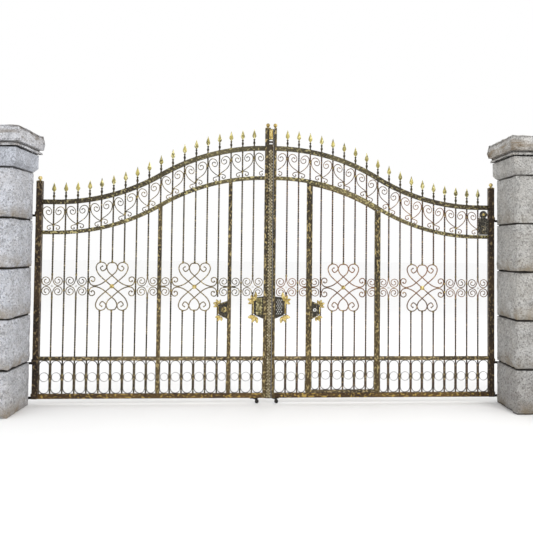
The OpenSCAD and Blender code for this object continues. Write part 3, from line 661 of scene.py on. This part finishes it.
def pillar_stones(x, name):
    stones = []
    for low, high in zip(JOINTS, BEDS):
        z0 = low + (BED if low else 0.0)
        z1 = high - (BED if high < NECK_FOOT else 0.0)
        block = slab(x - HALF + 0.004, x + HALF - 0.004, 0.004 - HALF, HALF, z0, z1)
        choose_faces(block, lambda c, n: abs(n.z) < 0.5 and n.y < 0.5)
        bpy.ops.mesh.inset(thickness=MARGIN, use_individual=True)
        bpy.ops.transform.shrink_fatten(value=SWELL)
        mode("OBJECT")
        choose_faces(block, lambda c, n: abs(n.x) > 0.98)
        bpy.ops.mesh.inset(thickness=FIELD, use_individual=True)
        bpy.ops.transform.shrink_fatten(value=SWELL)
        bpy.ops.mesh.select_all(action="SELECT")
        bpy.ops.mesh.subdivide(number_cuts=13)
        mode("OBJECT")
        hew(block, z0, z1, 0.036)
        stones.append(block)
    return join(stones, name)


def mortar_beds(x, name):
    beds = []
    for joint in JOINTS[1:]:
        bed = slab(x - HALF + 0.016, x + HALF - 0.016, 0.016 - HALF, HALF - 0.014, joint - 0.007, joint + 0.007)
        beds.append(modify(bed, "BEVEL", width=0.002, segments=1))
    return join(beds, name)


def square_stone(x, profile, name, cuts, amount, mid_level=0.8):
    """A stone with the same moulding on all four sides, from (distance beyond the pillar, height) pairs."""
    o = turned([(math.sqrt(2) * (HALF + out), z) for out, z in profile], 4, math.pi / 4)
    o.location = (x, 0, 0)
    settle(o)
    modify(o, "BEVEL", width=0.004, segments=1)
    pick(o)
    mode("EDIT")
    bpy.ops.mesh.select_all(action="SELECT")
    bpy.ops.mesh.subdivide(number_cuts=cuts)
    mode("OBJECT")
    o.name = o.data.name = name
    for texture, strength in ((HEWN, amount), (CHIPS, amount * 0.6)):
        modify(o, "DISPLACE", texture=texture, texture_coords="GLOBAL", strength=strength, mid_level=mid_level)
    for v in o.data.vertices:
        v.co = (x + clamped(v.co.x - x, -REACH, REACH), clamped(v.co.y, -REACH, REACH),
                clamped(v.co.z, profile[0][1], CAP_TOP))
    return o


NECK = [(-0.004, 2.446), (0.0, 2.450), (0.037, 2.492), (0.038, 2.640)]
NECK_JOINT_SHADOW = [(0.020, 2.640), (0.020, 2.650)]
CAP = [(0.052, 2.650), (0.056, 2.654), (0.056, 2.674), (0.046, 2.681), (0.078, 2.694), (0.088, 2.755),
       (0.082, 2.800), (0.068, 2.850)]
for (word, side), x in zip(SIDES, (0.0, 2 * GATE_X)):
    dress(pillar_stones(x, word + "_hewn_stones"), word + "_stone", "pillars", "granite", word + "_pillar")
    dress(mortar_beds(x, word + "_mortar"), "mortar", "pillars", "granite")
    neck = square_stone(x, NECK, word + "_frieze_stone", 9, 0.006)
    dress(neck, "dressed" if side == LEFT else "right_stone", "pillars", "granite", word + "_pillar_neck")
    # dark stone in the joint under the cap: partly the joint's own dark colour, partly painted shadow under the
    # cap's overhang
    dress(square_stone(x, NECK_JOINT_SHADOW, word + "_frieze_joint_and_shadow", 2, 0.001), "mortar", "pillars", "granite")
    cap = square_stone(x, CAP, word + "_cap_stone", 11, 0.026, 0.90)
    dress(cap, word + "_cap", "pillars", "granite", word + "_pillar_cap")

# ---- carried-over frame: eased edges and hammered bronze ----
BODY = {"left": "left_leaf", "right": "right_leaf", "wicket": "wicket"}
FRAME_FINISH = {
    "frame": ["left_meeting_stile", "right_meeting_stile", "left_door_stiles", "right_door_jambs",
              "wicket_stiles"],
    "dark_frame": ["left_hinge_stile", "right_hinge_stile", "left_hinge_knuckles", "right_hinge_knuckles"],
    "top": ["left_top_rail", "right_top_rail"],
    "golden": ["left_curved_rail", "right_curved_rail"],
    "mid_rail": ["left_middle_rail", "right_middle_rail", "wicket_rails"],
    "low_rail": ["left_bottom_rail", "right_bottom_rail"],
    "ring": ["left_loops_and_rings", "right_loops_and_rings", "wicket_loops_and_rings"],
    "lock": ["left_lock", "right_lock", "left_blind_lock", "wicket_lock"],
    "bracket": ["right_bracket"],
    "black": ["left_hinge_hooks", "right_hinge_hooks", "left_caster_plate", "right_caster_plate",
              "left_caster_fork", "right_caster_fork", "wicket_hinge_eyes", "wicket_hinge_pins"],
    "tyre": ["left_caster_wheel", "right_caster_wheel"],
}
EASED = {"dark_frame": 0.002, "black": 0.0006, "tyre": 0.002}   # the others' edges, but for the rings' and loops', are eased by 3 mm
for key, names in FRAME_FINISH.items():
    for name in names:
        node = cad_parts[name]
        for slot in node.material_slots:
            slot.material = finish[key]
        if key != "ring":
            weld = node.modifiers.new("weld", "WELD")
            weld.merge_threshold = 0.0001
            ease = node.modifiers.new("ease", "BEVEL")
            ease.width, ease.segments, ease.limit_method = EASED.get(key, 0.003), 2, "ANGLE"
            ease.angle_limit = math.radians(40)

# ---- pickets ----
module = twisted_module()
WICKET_LOW = 0.141              # top of the wicket's bottom rail
UNDER_WICKET = 0.043            # from the curved rail's middle to the wicket's pickets
LOCK_ROD, DOOR_LOCK_ROD, DOOR_ROD_END = 1.120, 1.070, 1.140


def field_spans(k, under, beside_lock):
    u = picket(k)
    top = Z_CURVED + crown(u, -under)
    gap = FRAMED_END if k in FRAMED else SPLIT_END if k in SPLIT else 0
    if beside_lock:
        return [(u, MIDDLE_HI, beside_lock), (u, Z_BAND + gap if gap else DOOR_ROD_END, top)]
    if gap:
        return [(u, MIDDLE_HI, Z_BAND - gap), (u, Z_BAND + gap, top)]
    return [(u, MIDDLE_HI, top)]


def leaf_spans(field, locked):
    spans = [(picket(k), Z_CURVED + crown(picket(k), UNDER_SLIM), Z_TOP + crown(picket(k), -UNDER_TOP))
             for k in range(1, 19)]
    for k in field:
        spans += field_spans(k, UNDER_SLIM, LOCK_ROD if k == 1 else DOOR_LOCK_ROD if k in locked else 0)
        spans.append((picket(k), BOTTOM_TOP, MIDDLE_LO))
    return spans


left_field = [k for k in range(1, 19) if k not in (3, 9)]
right_field = [1, 2] + list(range(10, 19))
wicket_field = list(range(4, 9))
wicket_spans = []
for k in wicket_field:
    wicket_spans += field_spans(k, UNDER_WICKET, DOOR_LOCK_ROD if k == 4 else 0)
    wicket_spans.append((picket(k), WICKET_LOW, MIDDLE_LO))
for word, side, spans in (("left", LEFT, leaf_spans(left_field, [4])),
                          ("right", RIGHT, leaf_spans(right_field, [])), ("wicket", RIGHT, wicket_spans)):
    bars = twisted_bars(word + "_twisted_pickets", module, side, spans)
    dress(bars, "left_bars" if side == LEFT else "right_bars", BODY[word], "bronze_iron", word + "_pickets")
drop(module)

# ---- spears ----
spear = turned([(0.0105, 0.0), (0.0115, 0.003), (0.0075, 0.010), (0.0070, 0.016), (0.0125, 0.032),
                (0.0135, 0.040), (0.0080, 0.054), (0.0065, 0.062), (0.0110, 0.068), (0.0115, 0.074),
                (0.0065, 0.080), (0.0060, 0.086), (0.0130, 0.094), (0.0215, 0.106), (0.0228, 0.114),
                (0.0190, 0.130), (0.0120, 0.150), (0.0055, 0.170), (0.0010, 0.187)], 10)
SHANK_TOP, BLADE_FOOT = 0.078, 0.088
for v in spear.data.vertices:
    if v.co.z > BLADE_FOOT:
        v.co.y *= 0.5
smooth_shade(spear, 50)
foot = {k: Z_TOP + crown(picket(k), UNDER_TOP) for k in range(1, 19)}
for word, side in SIDES:
    spots = [(at(side, picket(k)), GATE_Y, foot[k] - 0.001) for k in foot]
    piece = dress(copies(spear, spots, word + "_spears_gold"), "spear", word + "_leaf", "gold_iron",
                  word + "_spears")
    piece.data.materials.append(finish["shank"])
    for face in piece.data.polygons:
        k = round((abs(face.center.x - GATE_X) - picket(1)) / PITCH) + 1
        face.material_index = int(face.center.z - foot[k] < SHANK_TOP)
drop(spear)

# ---- scrolls of the arched frieze, in mm from a picket and the lower curved rail ----
HEART = [(-38, 52), (-30, 40), (-46, 31), (-64, 43), (-62, 64), (-38, 76), (0, 84), (45, 110), (90, 152),
         (111, 200), (109, 247), (80, 273), (44, 264), (23, 234), (26, 203), (49, 188), (74, 203), (76, 227),
         (57, 239), (42, 226)]
HEART_STEPS = 4
SCROLL_WIDTH = 0.0045           # half the width of a frieze scroll's bar


def gap_middle(u):
    return crown(picket(math.floor((u - picket(0)) / PITCH)) + PITCH / 2)


def blended(u):
    """Height of the curve for scrolls: level within a gap, and eased across each picket."""
    nearest = picket(round((u - picket(0)) / PITCH))
    t = max(0.0, min(1.0, (u - nearest + 0.022) / 0.044))
    s = t * t * (3 - 2 * t)
    return gap_middle(nearest - 0.001) * (1 - s) + gap_middle(nearest + 0.001) * s


def heart_path(side, k, way, first=0):
    path = []
    for q in flowing(HEART[first:], HEART_STEPS):
        u = picket(k) + way * q.x / 1000
        path.append(Vector((at(side, u), Z_CURVED + blended(u) + q.y / 1000)))
    return path


bead = turned([(0.0080, -0.012), (0.0105, -0.010), (0.0108, -0.006), (0.0085, -0.003), (0.0130, 0.000),
               (0.0085, 0.003), (0.0108, 0.006), (0.0105, 0.010), (0.0080, 0.012)], 12)
smooth_shade(bead, 60)


def collars(name, side, spots):
    return copies(bead, [(at(side, u), GATE_Y, z) for u, z in spots], name)


for word, side in SIDES:
    # of the heart on the meeting stile, one arc and the lower curl that crosses to the same side show
    paths = [heart_path(side, 0, -1)[:22], heart_path(side, 0, 1, 6)]
    for k in range(2, 19, 2):
        paths += [heart_path(side, k, -1), heart_path(side, k, 1)]
    hearts = forged(word + "_frieze_hearts", [within_leaf(path, side) for path in paths], SCROLL_WIDTH)
    dress(hearts, word + "_scrolls", word + "_leaf", "bronze_iron", word + "_heart_scrolls")
    spots = [(picket(k), Z_CURVED + crown(picket(k)) + (0.215 if k % 2 else 0.082)) for k in range(1, 19)]
    dress(collars(word + "_frieze_collars", side, spots), "collar", word + "_leaf", "bronze_iron")

# ---- scroll band, in mm from its middle ----
QUARTER = [(2, 118), (4, 96), (9, 60), (27, 20), (60, 6), (94, 20), (106, 54), (94, 84), (63, 95), (35, 80),
           (28, 56), (42, 34), (64, 30), (80, 44), (78, 64), (62, 70)]
LOBE = [(0, 0), (66, 57), (106, 92), (146, 136), (168, 196), (152, 240), (110, 256), (70, 238), (60, 195),
        (98, 163), (124, 195), (98, 217)]
LOOP = [(0, 252), (-34, 246), (-56, 205), (-40, 155), (0, 116), (66, 57), (118, 22), (176, 5), (222, 20),
        (239, 64), (229, 94), (204, 101), (181, 84), (184, 58), (205, 48), (217, 64)]
MEDALLION_WIDTH, SMALL_WIDTH = 0.0062, 0.0048
TWIN_BAR = 0.0055               # from the band's middle to each of a pair of straight bars
CORNERS = [(a, b) for a in (-1, 1) for b in (-1, 1)]


def scroll(side, k, flip_u, flip_z, points, steps):
    return [Vector((at(side, picket(k) + flip_u * q.x / 1000), Z_BAND + flip_z * q.y / 1000))
            for q in flowing(points, steps)]


rosette = turned([(0.006, -0.012), (0.012, -0.011), (0.024, -0.008), (0.026, 0.0), (0.024, 0.008),
                  (0.012, 0.011), (0.009, 0.013), (0.004, 0.014)], 24)
scallop(rosette, 3, 0.16, 0.010)
smooth_shade(rosette, 40)
diamond = turned([(0.001, -0.009), (0.0155, -0.003), (0.0155, 0.003), (0.001, 0.009)], 4)
# side, pickets between small scrolls, half groups, medallions, and pickets that pass through
BAND = {"left": (LEFT, SPLIT, ((3, -1), (3, 1), (9, -1)), (6, 13), (2, 4, 8, 11, 15, 17)),
        "right": (RIGHT, SPLIT, ((3, -1),), (13,), (2, 11, 15, 17)),
        "wicket": (RIGHT, (), ((3, 1), (9, -1)), (6,), (8,))}
for word, (side, splits, stubs, rounds, passing) in BAND.items():
    paths, medallions = [], []
    for k in splits:
        paths += [scroll(side, k, a, b, QUARTER, 4) for a, b in CORNERS]
    for k, a in stubs:
        near, far = (at(side, picket(k) + a * reach) for reach in (0.022, 0.066))
        for b in (-1, 1):
            z = Z_BAND + b * TWIN_BAR
            paths += [scroll(side, k, a, b, QUARTER[4:], 4), [Vector((near, z)), Vector((far, z))]]
    for k in rounds:
        for a, b in CORNERS:
            medallions += [scroll(side, k, a, b, LOBE, 5), scroll(side, k, a, b, LOOP, 4)]
    bars = [forged(word + "_medallions", medallions, MEDALLION_WIDTH, 0.0068),
            forged(word + "_small_scrolls", [within_leaf(path, side) for path in paths], SMALL_WIDTH)]
    dress(join(bars, word + "_band_scrolls"), "left_scrolls" if side == LEFT else "right_scrolls", BODY[word],
          "bronze_iron", word + "_scroll_band")
    spots = [(picket(k), Z_BAND + d) for k in passing for d in (-0.043, 0.043)]
    spots += [(picket(k) + j * PITCH, Z_BAND + b * 0.262) for k in rounds for j in (-1, 0, 1) for b in (-1, 1)]
    spots += [(picket(k), Z_BAND + b * 0.122) for k in splits for b in (-1, 1) if k != 1 or b > 0]
    dress(collars(word + "_band_collars", side, spots), "collar", BODY[word], "bronze_iron")
    spots = [(at(side, picket(k)), GATE_Y, Z_BAND) for k in rounds]
    dress(copies(rosette, spots, word + "_rosettes", 1), "gold", BODY[word], "bronze_iron")
    if splits:
        spots = [(at(side, picket(k)), GATE_Y, Z_BAND) for k in splits]
        dress(copies(diamond, spots, word + "_band_diamonds", 1), "pale", BODY[word], "bronze_iron")
drop(rosette, diamond)

# ---- beads of the bottom panel ----
for word, side, field, floor_z in (("left", LEFT, left_field, BOTTOM_TOP),
                                   ("right", RIGHT, right_field, BOTTOM_TOP),
                                   ("wicket", RIGHT, wicket_field, WICKET_LOW)):
    ring_z = (floor_z + MIDDLE_LO) / 2
    spots = [(picket(k), ring_z + d) for k in field for d in (-0.022, 0.022)]
    dress(collars(word + "_panel_beads", side, spots), "collar", BODY[word], "bronze_iron")
drop(bead)

# ---- ball caps ----
BALL_R, BALL_MIDDLE = 0.022, 0.038
CORNER = math.sqrt(2) / 2       # turns a square plate's width into its corners' radius
plate = turned([(0.060 * CORNER, 0.0), (0.060 * CORNER, 0.005), (0.052 * CORNER, 0.008),
                (0.024 * CORNER, 0.0125)], 4, math.pi / 4)
narrow = turned([(0.028 * CORNER, 0.0), (0.028 * CORNER, 0.005), (0.024 * CORNER, 0.008)], 4, math.pi / 4)
ball = turned([(0.0130, 0.008), (0.0130, 0.011), (0.0095, 0.013), (0.0105, 0.016), (0.0070, 0.0172)]
              + [(BALL_R * math.sin(math.radians(d)), BALL_MIDDLE - BALL_R * math.cos(math.radians(d)))
                 for d in (22, 36, 52, 68, 84, 98, 114, 130, 146, 162, 174)], 20)
smooth_shade(ball, 50)
STILE_TOP, MEET_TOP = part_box("left_hinge_stile")[1].z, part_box("left_meeting_stile")[1].z
for (word, side), meeting in zip(SIDES, (U_IN - STILE / 2, 0.046)):
    hinge_end = (at(side, U_END + STILE / 2), GATE_Y, STILE_TOP)
    meeting_end = (at(side, meeting), GATE_Y, MEET_TOP)
    feet = [copy_of(plate, hinge_end)]
    if side == LEFT:
        feet.append(copy_of(plate, meeting_end))
    else:                       # the right meeting stile shows only a narrow edge beside the strip
        feet.append(copy_of(narrow, (at(side, 0.0495), GATE_Y, MEET_TOP)))
        feet[1].scale = (1, 2.1, 1)
    settle(*feet)
    balls = copies(ball, [hinge_end, meeting_end], word + "_stile_balls")
    dress(join(feet, word + "_stile_plates"), "collar", word + "_leaf", "gold_iron")
    dress(balls, "gold", word + "_leaf", "gold_iron", word + "_ball_caps")
drop(plate, narrow, ball)

# ---- cover strip ----
STRIP_FRONT = strip_lo.y


def sunk_panel(o, cuts=0):
    """Sinks a plate's street face inside a 6 mm rim."""
    choose_faces(o, lambda c, n: n.y < -0.5)
    bpy.ops.mesh.inset(thickness=0.006)
    bpy.ops.mesh.extrude_region_move(TRANSFORM_OT_translate={"value": (0, 0.002, 0)})
    if cuts:
        bpy.ops.mesh.subdivide(number_cuts=cuts)
    mode("OBJECT")
    return modify(o, "BEVEL", width=0.001, segments=1)


strip = slab(strip_lo.x, strip_hi.x, STRIP_FRONT + 0.003, strip_hi.y, strip_lo.z, strip_hi.z)
dress(join([sunk_panel(strip)], "hammered_strip"), "strip", "left_leaf", "strip_iron", "cover_strip")
stud = turned([(0.0135, 0.0), (0.0130, 0.002), (0.0010, 0.0062)], 4)
for v in stud.data.vertices:
    v.co.x *= 0.85
STUD_STEP, STUDS_TOP = 0.033, 2.765
spots = [(GATE_X + row * 0.0138, STRIP_FRONT + 0.0055,
          strip_lo.z + 0.018 + (i + (0.5 if row == 0 else 0)) * STUD_STEP)
         for i in range(int((STUDS_TOP - strip_lo.z) / STUD_STEP)) for row in (-1, 0, 1)]
dress(copies(stud, spots, "strip_diamond_studs", 1), "stud", "left_leaf", "strip_iron")
drop(stud)
plate_y = (STRIP_FRONT + 0.0005, STRIP_FRONT + 0.006)
top_plate = slab(GATE_X - 0.018, GATE_X + 0.020, *plate_y, 2.858, 2.966)
dress(join([sunk_panel(top_plate, 3)], "strip_top_plate"), "gold", "left_leaf", "strip_iron")
bands = [modify(slab(GATE_X - 0.018, GATE_X + 0.018, *plate_y, z - 0.007, z + 0.007), "BEVEL", width=0.003,
                segments=2) for z in (2.843, 2.809)]
dress(join(bands, "strip_pale_bands"), "pale", "left_leaf", "strip_iron")
# a black bar beside the cover strip's right edge: painted shadow of the strip
shadow_bar = slab(GATE_X + 0.0305, GATE_X + 0.0350, STRIP_FRONT + 0.003, STRIP_FRONT + 0.022, strip_lo.z + 0.002,
            strip_hi.z - 0.004)
modify(shadow_bar, "BEVEL", width=0.001, segments=2)
dress(join([shadow_bar], "right_edge_shadow_bar"), "black", "right_leaf", "black_iron")

# ---- locks and their leaves ----
LEAF_LIFT, LEAF_THICK, LEAF_ROOT = 0.016, 0.003, 0.012


def leaf(side, u, z, start, end, reach):
    """A gilded leaf that fans out from (u, z) between two angles, with one finger for each reach."""
    fingers = len(reach)
    bpy.ops.object.select_all(action="DESELECT")
    bpy.ops.mesh.primitive_grid_add(x_subdivisions=fingers * 10, y_subdivisions=9, size=2)
    o = bpy.context.object
    for v in o.data.vertices:
        across, along = (v.co.x + 1) / 2, (v.co.y + 1) / 2
        angle = math.radians(start + (end - start) * across)
        phase = across * fingers
        finger = min(int(phase), fingers - 1)
        off = abs(phase - finger - 0.5) * 2
        r = LEAF_ROOT + (reach[finger] * (1 - 0.46 * off) - LEAF_ROOT) * along
        rib = math.cos(off * math.pi / 2)
        lift = LEAF_LIFT * (0.35 + 0.65 * math.sin(math.pi * along * 0.85)) * (0.45 + 0.55 * rib)
        r += 0.0035 * math.sin(along * 22) * off
        v.co = (at(side, u + r * math.cos(angle)), -lift, z + r * math.sin(angle))
    o.data.update()
    modify(o, "SOLIDIFY", thickness=LEAF_THICK, offset=0)
    return outward(o)


def woven(side, u0, u1, z0, z1, step, size, name):
    """A woven mesh of small lozenges over both faces of a lock."""
    lozenge = turned([(size, 0.0), (size * 0.94, 0.0015), (size * 0.4, 0.0035)], 4)
    made = []
    for y, facing in FACES:
        for i in range(int((z1 - z0) / step)):
            for j in range(max(1, int((u1 - u0) / step))):
                u = u0 + (j + 0.5 + (i % 2) / 2) * step
                made.append(copy_of(lozenge, (at(side, u), y, z0 + (i + 0.5) * step), facing))
    settle(*made)
    drop(lozenge)
    return join(made, name)


def on_both_faces(profile, sides, place, name, stretch=1.0):
    """A turned fitting on the street face and the drive face of a lock."""
    made = []
    for y, facing in FACES:
        o = place_at(turned(profile, sides), (place[0], y, place[1]), facing)
        o.scale = (stretch, stretch, 1)
        made.append(smooth_shade(settle(o), 30))
    return join(made, name)


FRONT, REAR = GATE_Y - 0.025, GATE_Y + 0.025
FACES = ((FRONT, 1), (REAR, -1))
MAIN = {"size": (U_IN, 0.175, 0.908, 1.148), "high": (0.015, 0.058), "high_leaf": (0.072, 0.080, 0.082, 0.106),
        "low_leaf": (0.080, 0.082, 0.092)}
DOOR = {"size": (0.452, 0.550, 0.905, 1.098), "high": (0.012, 0.045),
        "high_leaf": (0.064, 0.070, 0.068, 0.058), "low_leaf": (0.054, 0.062, 0.062)}
WICKET = {**DOOR, "size": (0.463, 0.550, 0.905, 1.098)}
ESCUTCHEON = [(0.0185, 0.0), (0.0185, 0.002), (0.0165, 0.004), (0.0125, 0.0045), (0.0110, 0.003),
              (0.0050, 0.0030)]
KEYWAY = [(0.0085, 0.001), (0.0085, 0.0055), (0.0060, 0.0065), (0.0030, 0.0055)]
LOCKS = {"left_lock": (LEFT, "left_leaf", MAIN), "right_lock": (RIGHT, "right_leaf", MAIN),
         "left_blind_lock": (LEFT, "left_leaf", DOOR), "wicket_lock": (RIGHT, "wicket", WICKET)}
for name, (side, body, shape) in LOCKS.items():
    u0, u1, z0, z1 = shape["size"]
    corner_u, top_z = u1 - shape["high"][0], z1 - shape["high"][1]
    gold = []
    for y, out in FACES:
        for o in (leaf(side, corner_u, top_z, -35, 118, shape["high_leaf"]),
                  leaf(side, corner_u - 0.020, z0 + 0.030, -122, 12, shape["low_leaf"])):
            o.scale = (1, out, 1)
            o.location = (0, y, 0)
            gold.append(outward(settle(o)))
    lip = sorted((at(side, u1 - 0.007), at(side, u1 + 0.003)))
    gold.append(modify(slab(*lip, FRONT - 0.004, REAR + 0.004, z0 + 0.055, z1 - 0.060), "BEVEL", width=0.003,
                       segments=2))
    dress(join(gold, name + "_leaves"), "gold", body, "gold_iron")
    if shape is MAIN:
        key, weave = ("weave", (0.0165, 0.0088)) if side == LEFT else ("pale", (0.021, 0.0066))
        dress(woven(side, u0 + 0.008, u1 - 0.022, z0 + 0.045, z1 - 0.012, *weave, name + "_woven_face"), key,
              body, "lock_iron")
        continue
    eye = (at(side, u0 + 0.032), z1 - 0.092)
    key, stretch = ("collar", 1.7) if side == LEFT else ("pale", 1.0)
    dress(on_both_faces(ESCUTCHEON, 28, eye, name + "_escutcheons", stretch), key, body, "pale_iron")
    dress(on_both_faces(KEYWAY, 20, eye, name + "_keyways"), "black", body, "black_iron")
    edges = [[Vector((at(side, u), z)) for u, z in edge]
             for edge in (((u0 + 0.004, z0 + 0.012), (u1 - 0.026, z0 + 0.040)),
                          ((u0 + 0.004, z1 - 0.008), (u1 - 0.024, z1 - 0.034)))]
    dress(forged(name + "_edge_bars", edges, 0.004, 0.029, curl=False), "collar", body, "gold_iron")

# ---- balls that end the divided pickets above the main locks ----
stop = turned([(0.004, -0.011), (0.010, -0.007), (0.0115, 0.0), (0.010, 0.007), (0.004, 0.011)], 14)
smooth_shade(stop, 60)
for word, side in SIDES:
    spots = [(at(side, picket(1)), GATE_Y, z) for z in (Z_BAND - 0.066, LOCK_ROD + 0.008)]
    dress(copies(stop, spots, word + "_picket_stops"), "black", word + "_leaf", "bronze_iron")
drop(stop)

# ---- bracket in the right leaf's corner; half of its S scroll is in mm from the middle ----
bracket_lo, bracket_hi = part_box("right_bracket")
FLOWER_X, FLOWER_Z, EYE_R = at(RIGHT, picket(18) + 0.058), 2.066, 0.014
CURL = [(25.1, -15.8), (10.6, -19.8), (-6.6, -14.5), (-15.8, -1.3), (-11.9, 11.9), (0, 14.5), (6.6, 7.9)]
SCROLL_U, SCROLL_Z, CURL_DROP = picket(18) + 0.060, 1.898, 0.018
curls = []
for turn in (1, -1):
    curls.append([Vector((at(RIGHT, SCROLL_U + turn * p.x / 1000), SCROLL_Z + turn * (p.y / 1000 - CURL_DROP)))
                  for p in flowing(CURL, 4)])
scrolls = []
for y in (bracket_lo.y - 0.0005, bracket_hi.y + 0.0005):
    o = forged("bracket_scroll", curls, 0.0038, curl=False)
    o.location = (0, y - GATE_Y, 0)
    scrolls.append(settle(o))
dress(join(scrolls, "bracket_scrolls"), "stud", "right_leaf", "black_iron")
petals = []
for y, facing in ((bracket_lo.y, 1), (bracket_hi.y, -1)):
    o = turned([(0.040, 0.0), (0.041, 0.002), (0.030, 0.007), (0.014, 0.005), (0.012, 0.009), (0.004, 0.011)],
               32)
    scallop(o, 4, 0.12, 0.02)
    petals.append(smooth_shade(settle(place_at(o, (FLOWER_X, y, FLOWER_Z), facing)), 30))
flower = dress(join(petals, "bracket_flower"), "bracket", "right_leaf", "black_iron")
flower.data.materials.append(finish["gold"])
for face in flower.data.polygons:
    reach = math.hypot(face.center.x - FLOWER_X, face.center.z - FLOWER_Z)
    face.material_index = int(reach < EYE_R)

# ---- floor, light and camera ----
bpy.ops.object.select_all(action="DESELECT")
bpy.ops.mesh.primitive_plane_add(size=160, location=(GATE_X, 0, 0))
floor = bpy.context.object
floor.name = "floor"
m, t, shader, place = begin("pale_floor")
cloud = noise(t, place, 0.8, 3.0)
put(t, shader.inputs["Base Color"], ramp(t, cloud, (0.3, (0.945, 0.945, 0.945)), (0.7, (0.955, 0.955, 0.955))))
shader.inputs["Roughness"].default_value = 0.9
floor.data.materials.append(m)

world = bpy.data.worlds.new("studio")
bpy.context.scene.world = world
world.use_nodes = True
background = world.node_tree.nodes["Background"]
background.inputs[0].default_value = (1.0, 1.0, 1.0, 1)
background.inputs[1].default_value = 1.0


def soft_light(name, place, target, size, power, colour=(1, 1, 1)):
    data = bpy.data.lights.new(name, "AREA")
    data.size, data.energy, data.color = size, power, colour
    lamp = bpy.data.objects.new(name, data)
    bpy.context.collection.objects.link(lamp)
    lamp.location = place
    lamp.rotation_euler = (Vector(target) - Vector(place)).to_track_quat("-Z", "Y").to_euler()


soft_light("key", (GATE_X + 5.0, -7.0, 7.5), (GATE_X, 0.2, 1.2), 3.0, 260, (1.0, 0.98, 0.95))
soft_light("fill", (GATE_X - 6.0, -6.0, 5.0), (GATE_X, 0.2, 1.2), 5.0, 70, (0.95, 0.98, 1.0))
soft_light("back", (GATE_X + 2.0, 7.0, 6.5), (GATE_X, 0.2, 1.4), 4.0, 110)

# the camera stands in the street before the gate's middle, turned a little to the right
yaw, pitch, roll = math.radians(3.68), math.radians(1.99), math.radians(0.53)
forward = Vector((math.sin(yaw) * math.cos(pitch), math.cos(yaw) * math.cos(pitch), math.sin(pitch)))
level = Vector((math.cos(yaw), -math.sin(yaw), 0))
rise = level.cross(forward)
across = math.cos(roll) * level + math.sin(roll) * rise
upward = -math.sin(roll) * level + math.cos(roll) * rise
camera_data = bpy.data.cameras.new("camera")
camera_data.sensor_width = 36
camera_data.lens = 646.6 / 533 * 36
camera_data.shift_x, camera_data.shift_y = -0.080, -0.074
camera_data.clip_end = 200
camera = bpy.data.objects.new("camera", camera_data)
bpy.context.collection.objects.link(camera)
camera.matrix_world = Matrix.Translation((GATE_X - 0.027, GATE_Y - 7.055, 1.661)) @ Matrix(
    (across, upward, -forward)).transposed().to_4x4()
bpy.context.scene.camera = camera
bpy.context.scene.view_settings.view_transform = "Standard"
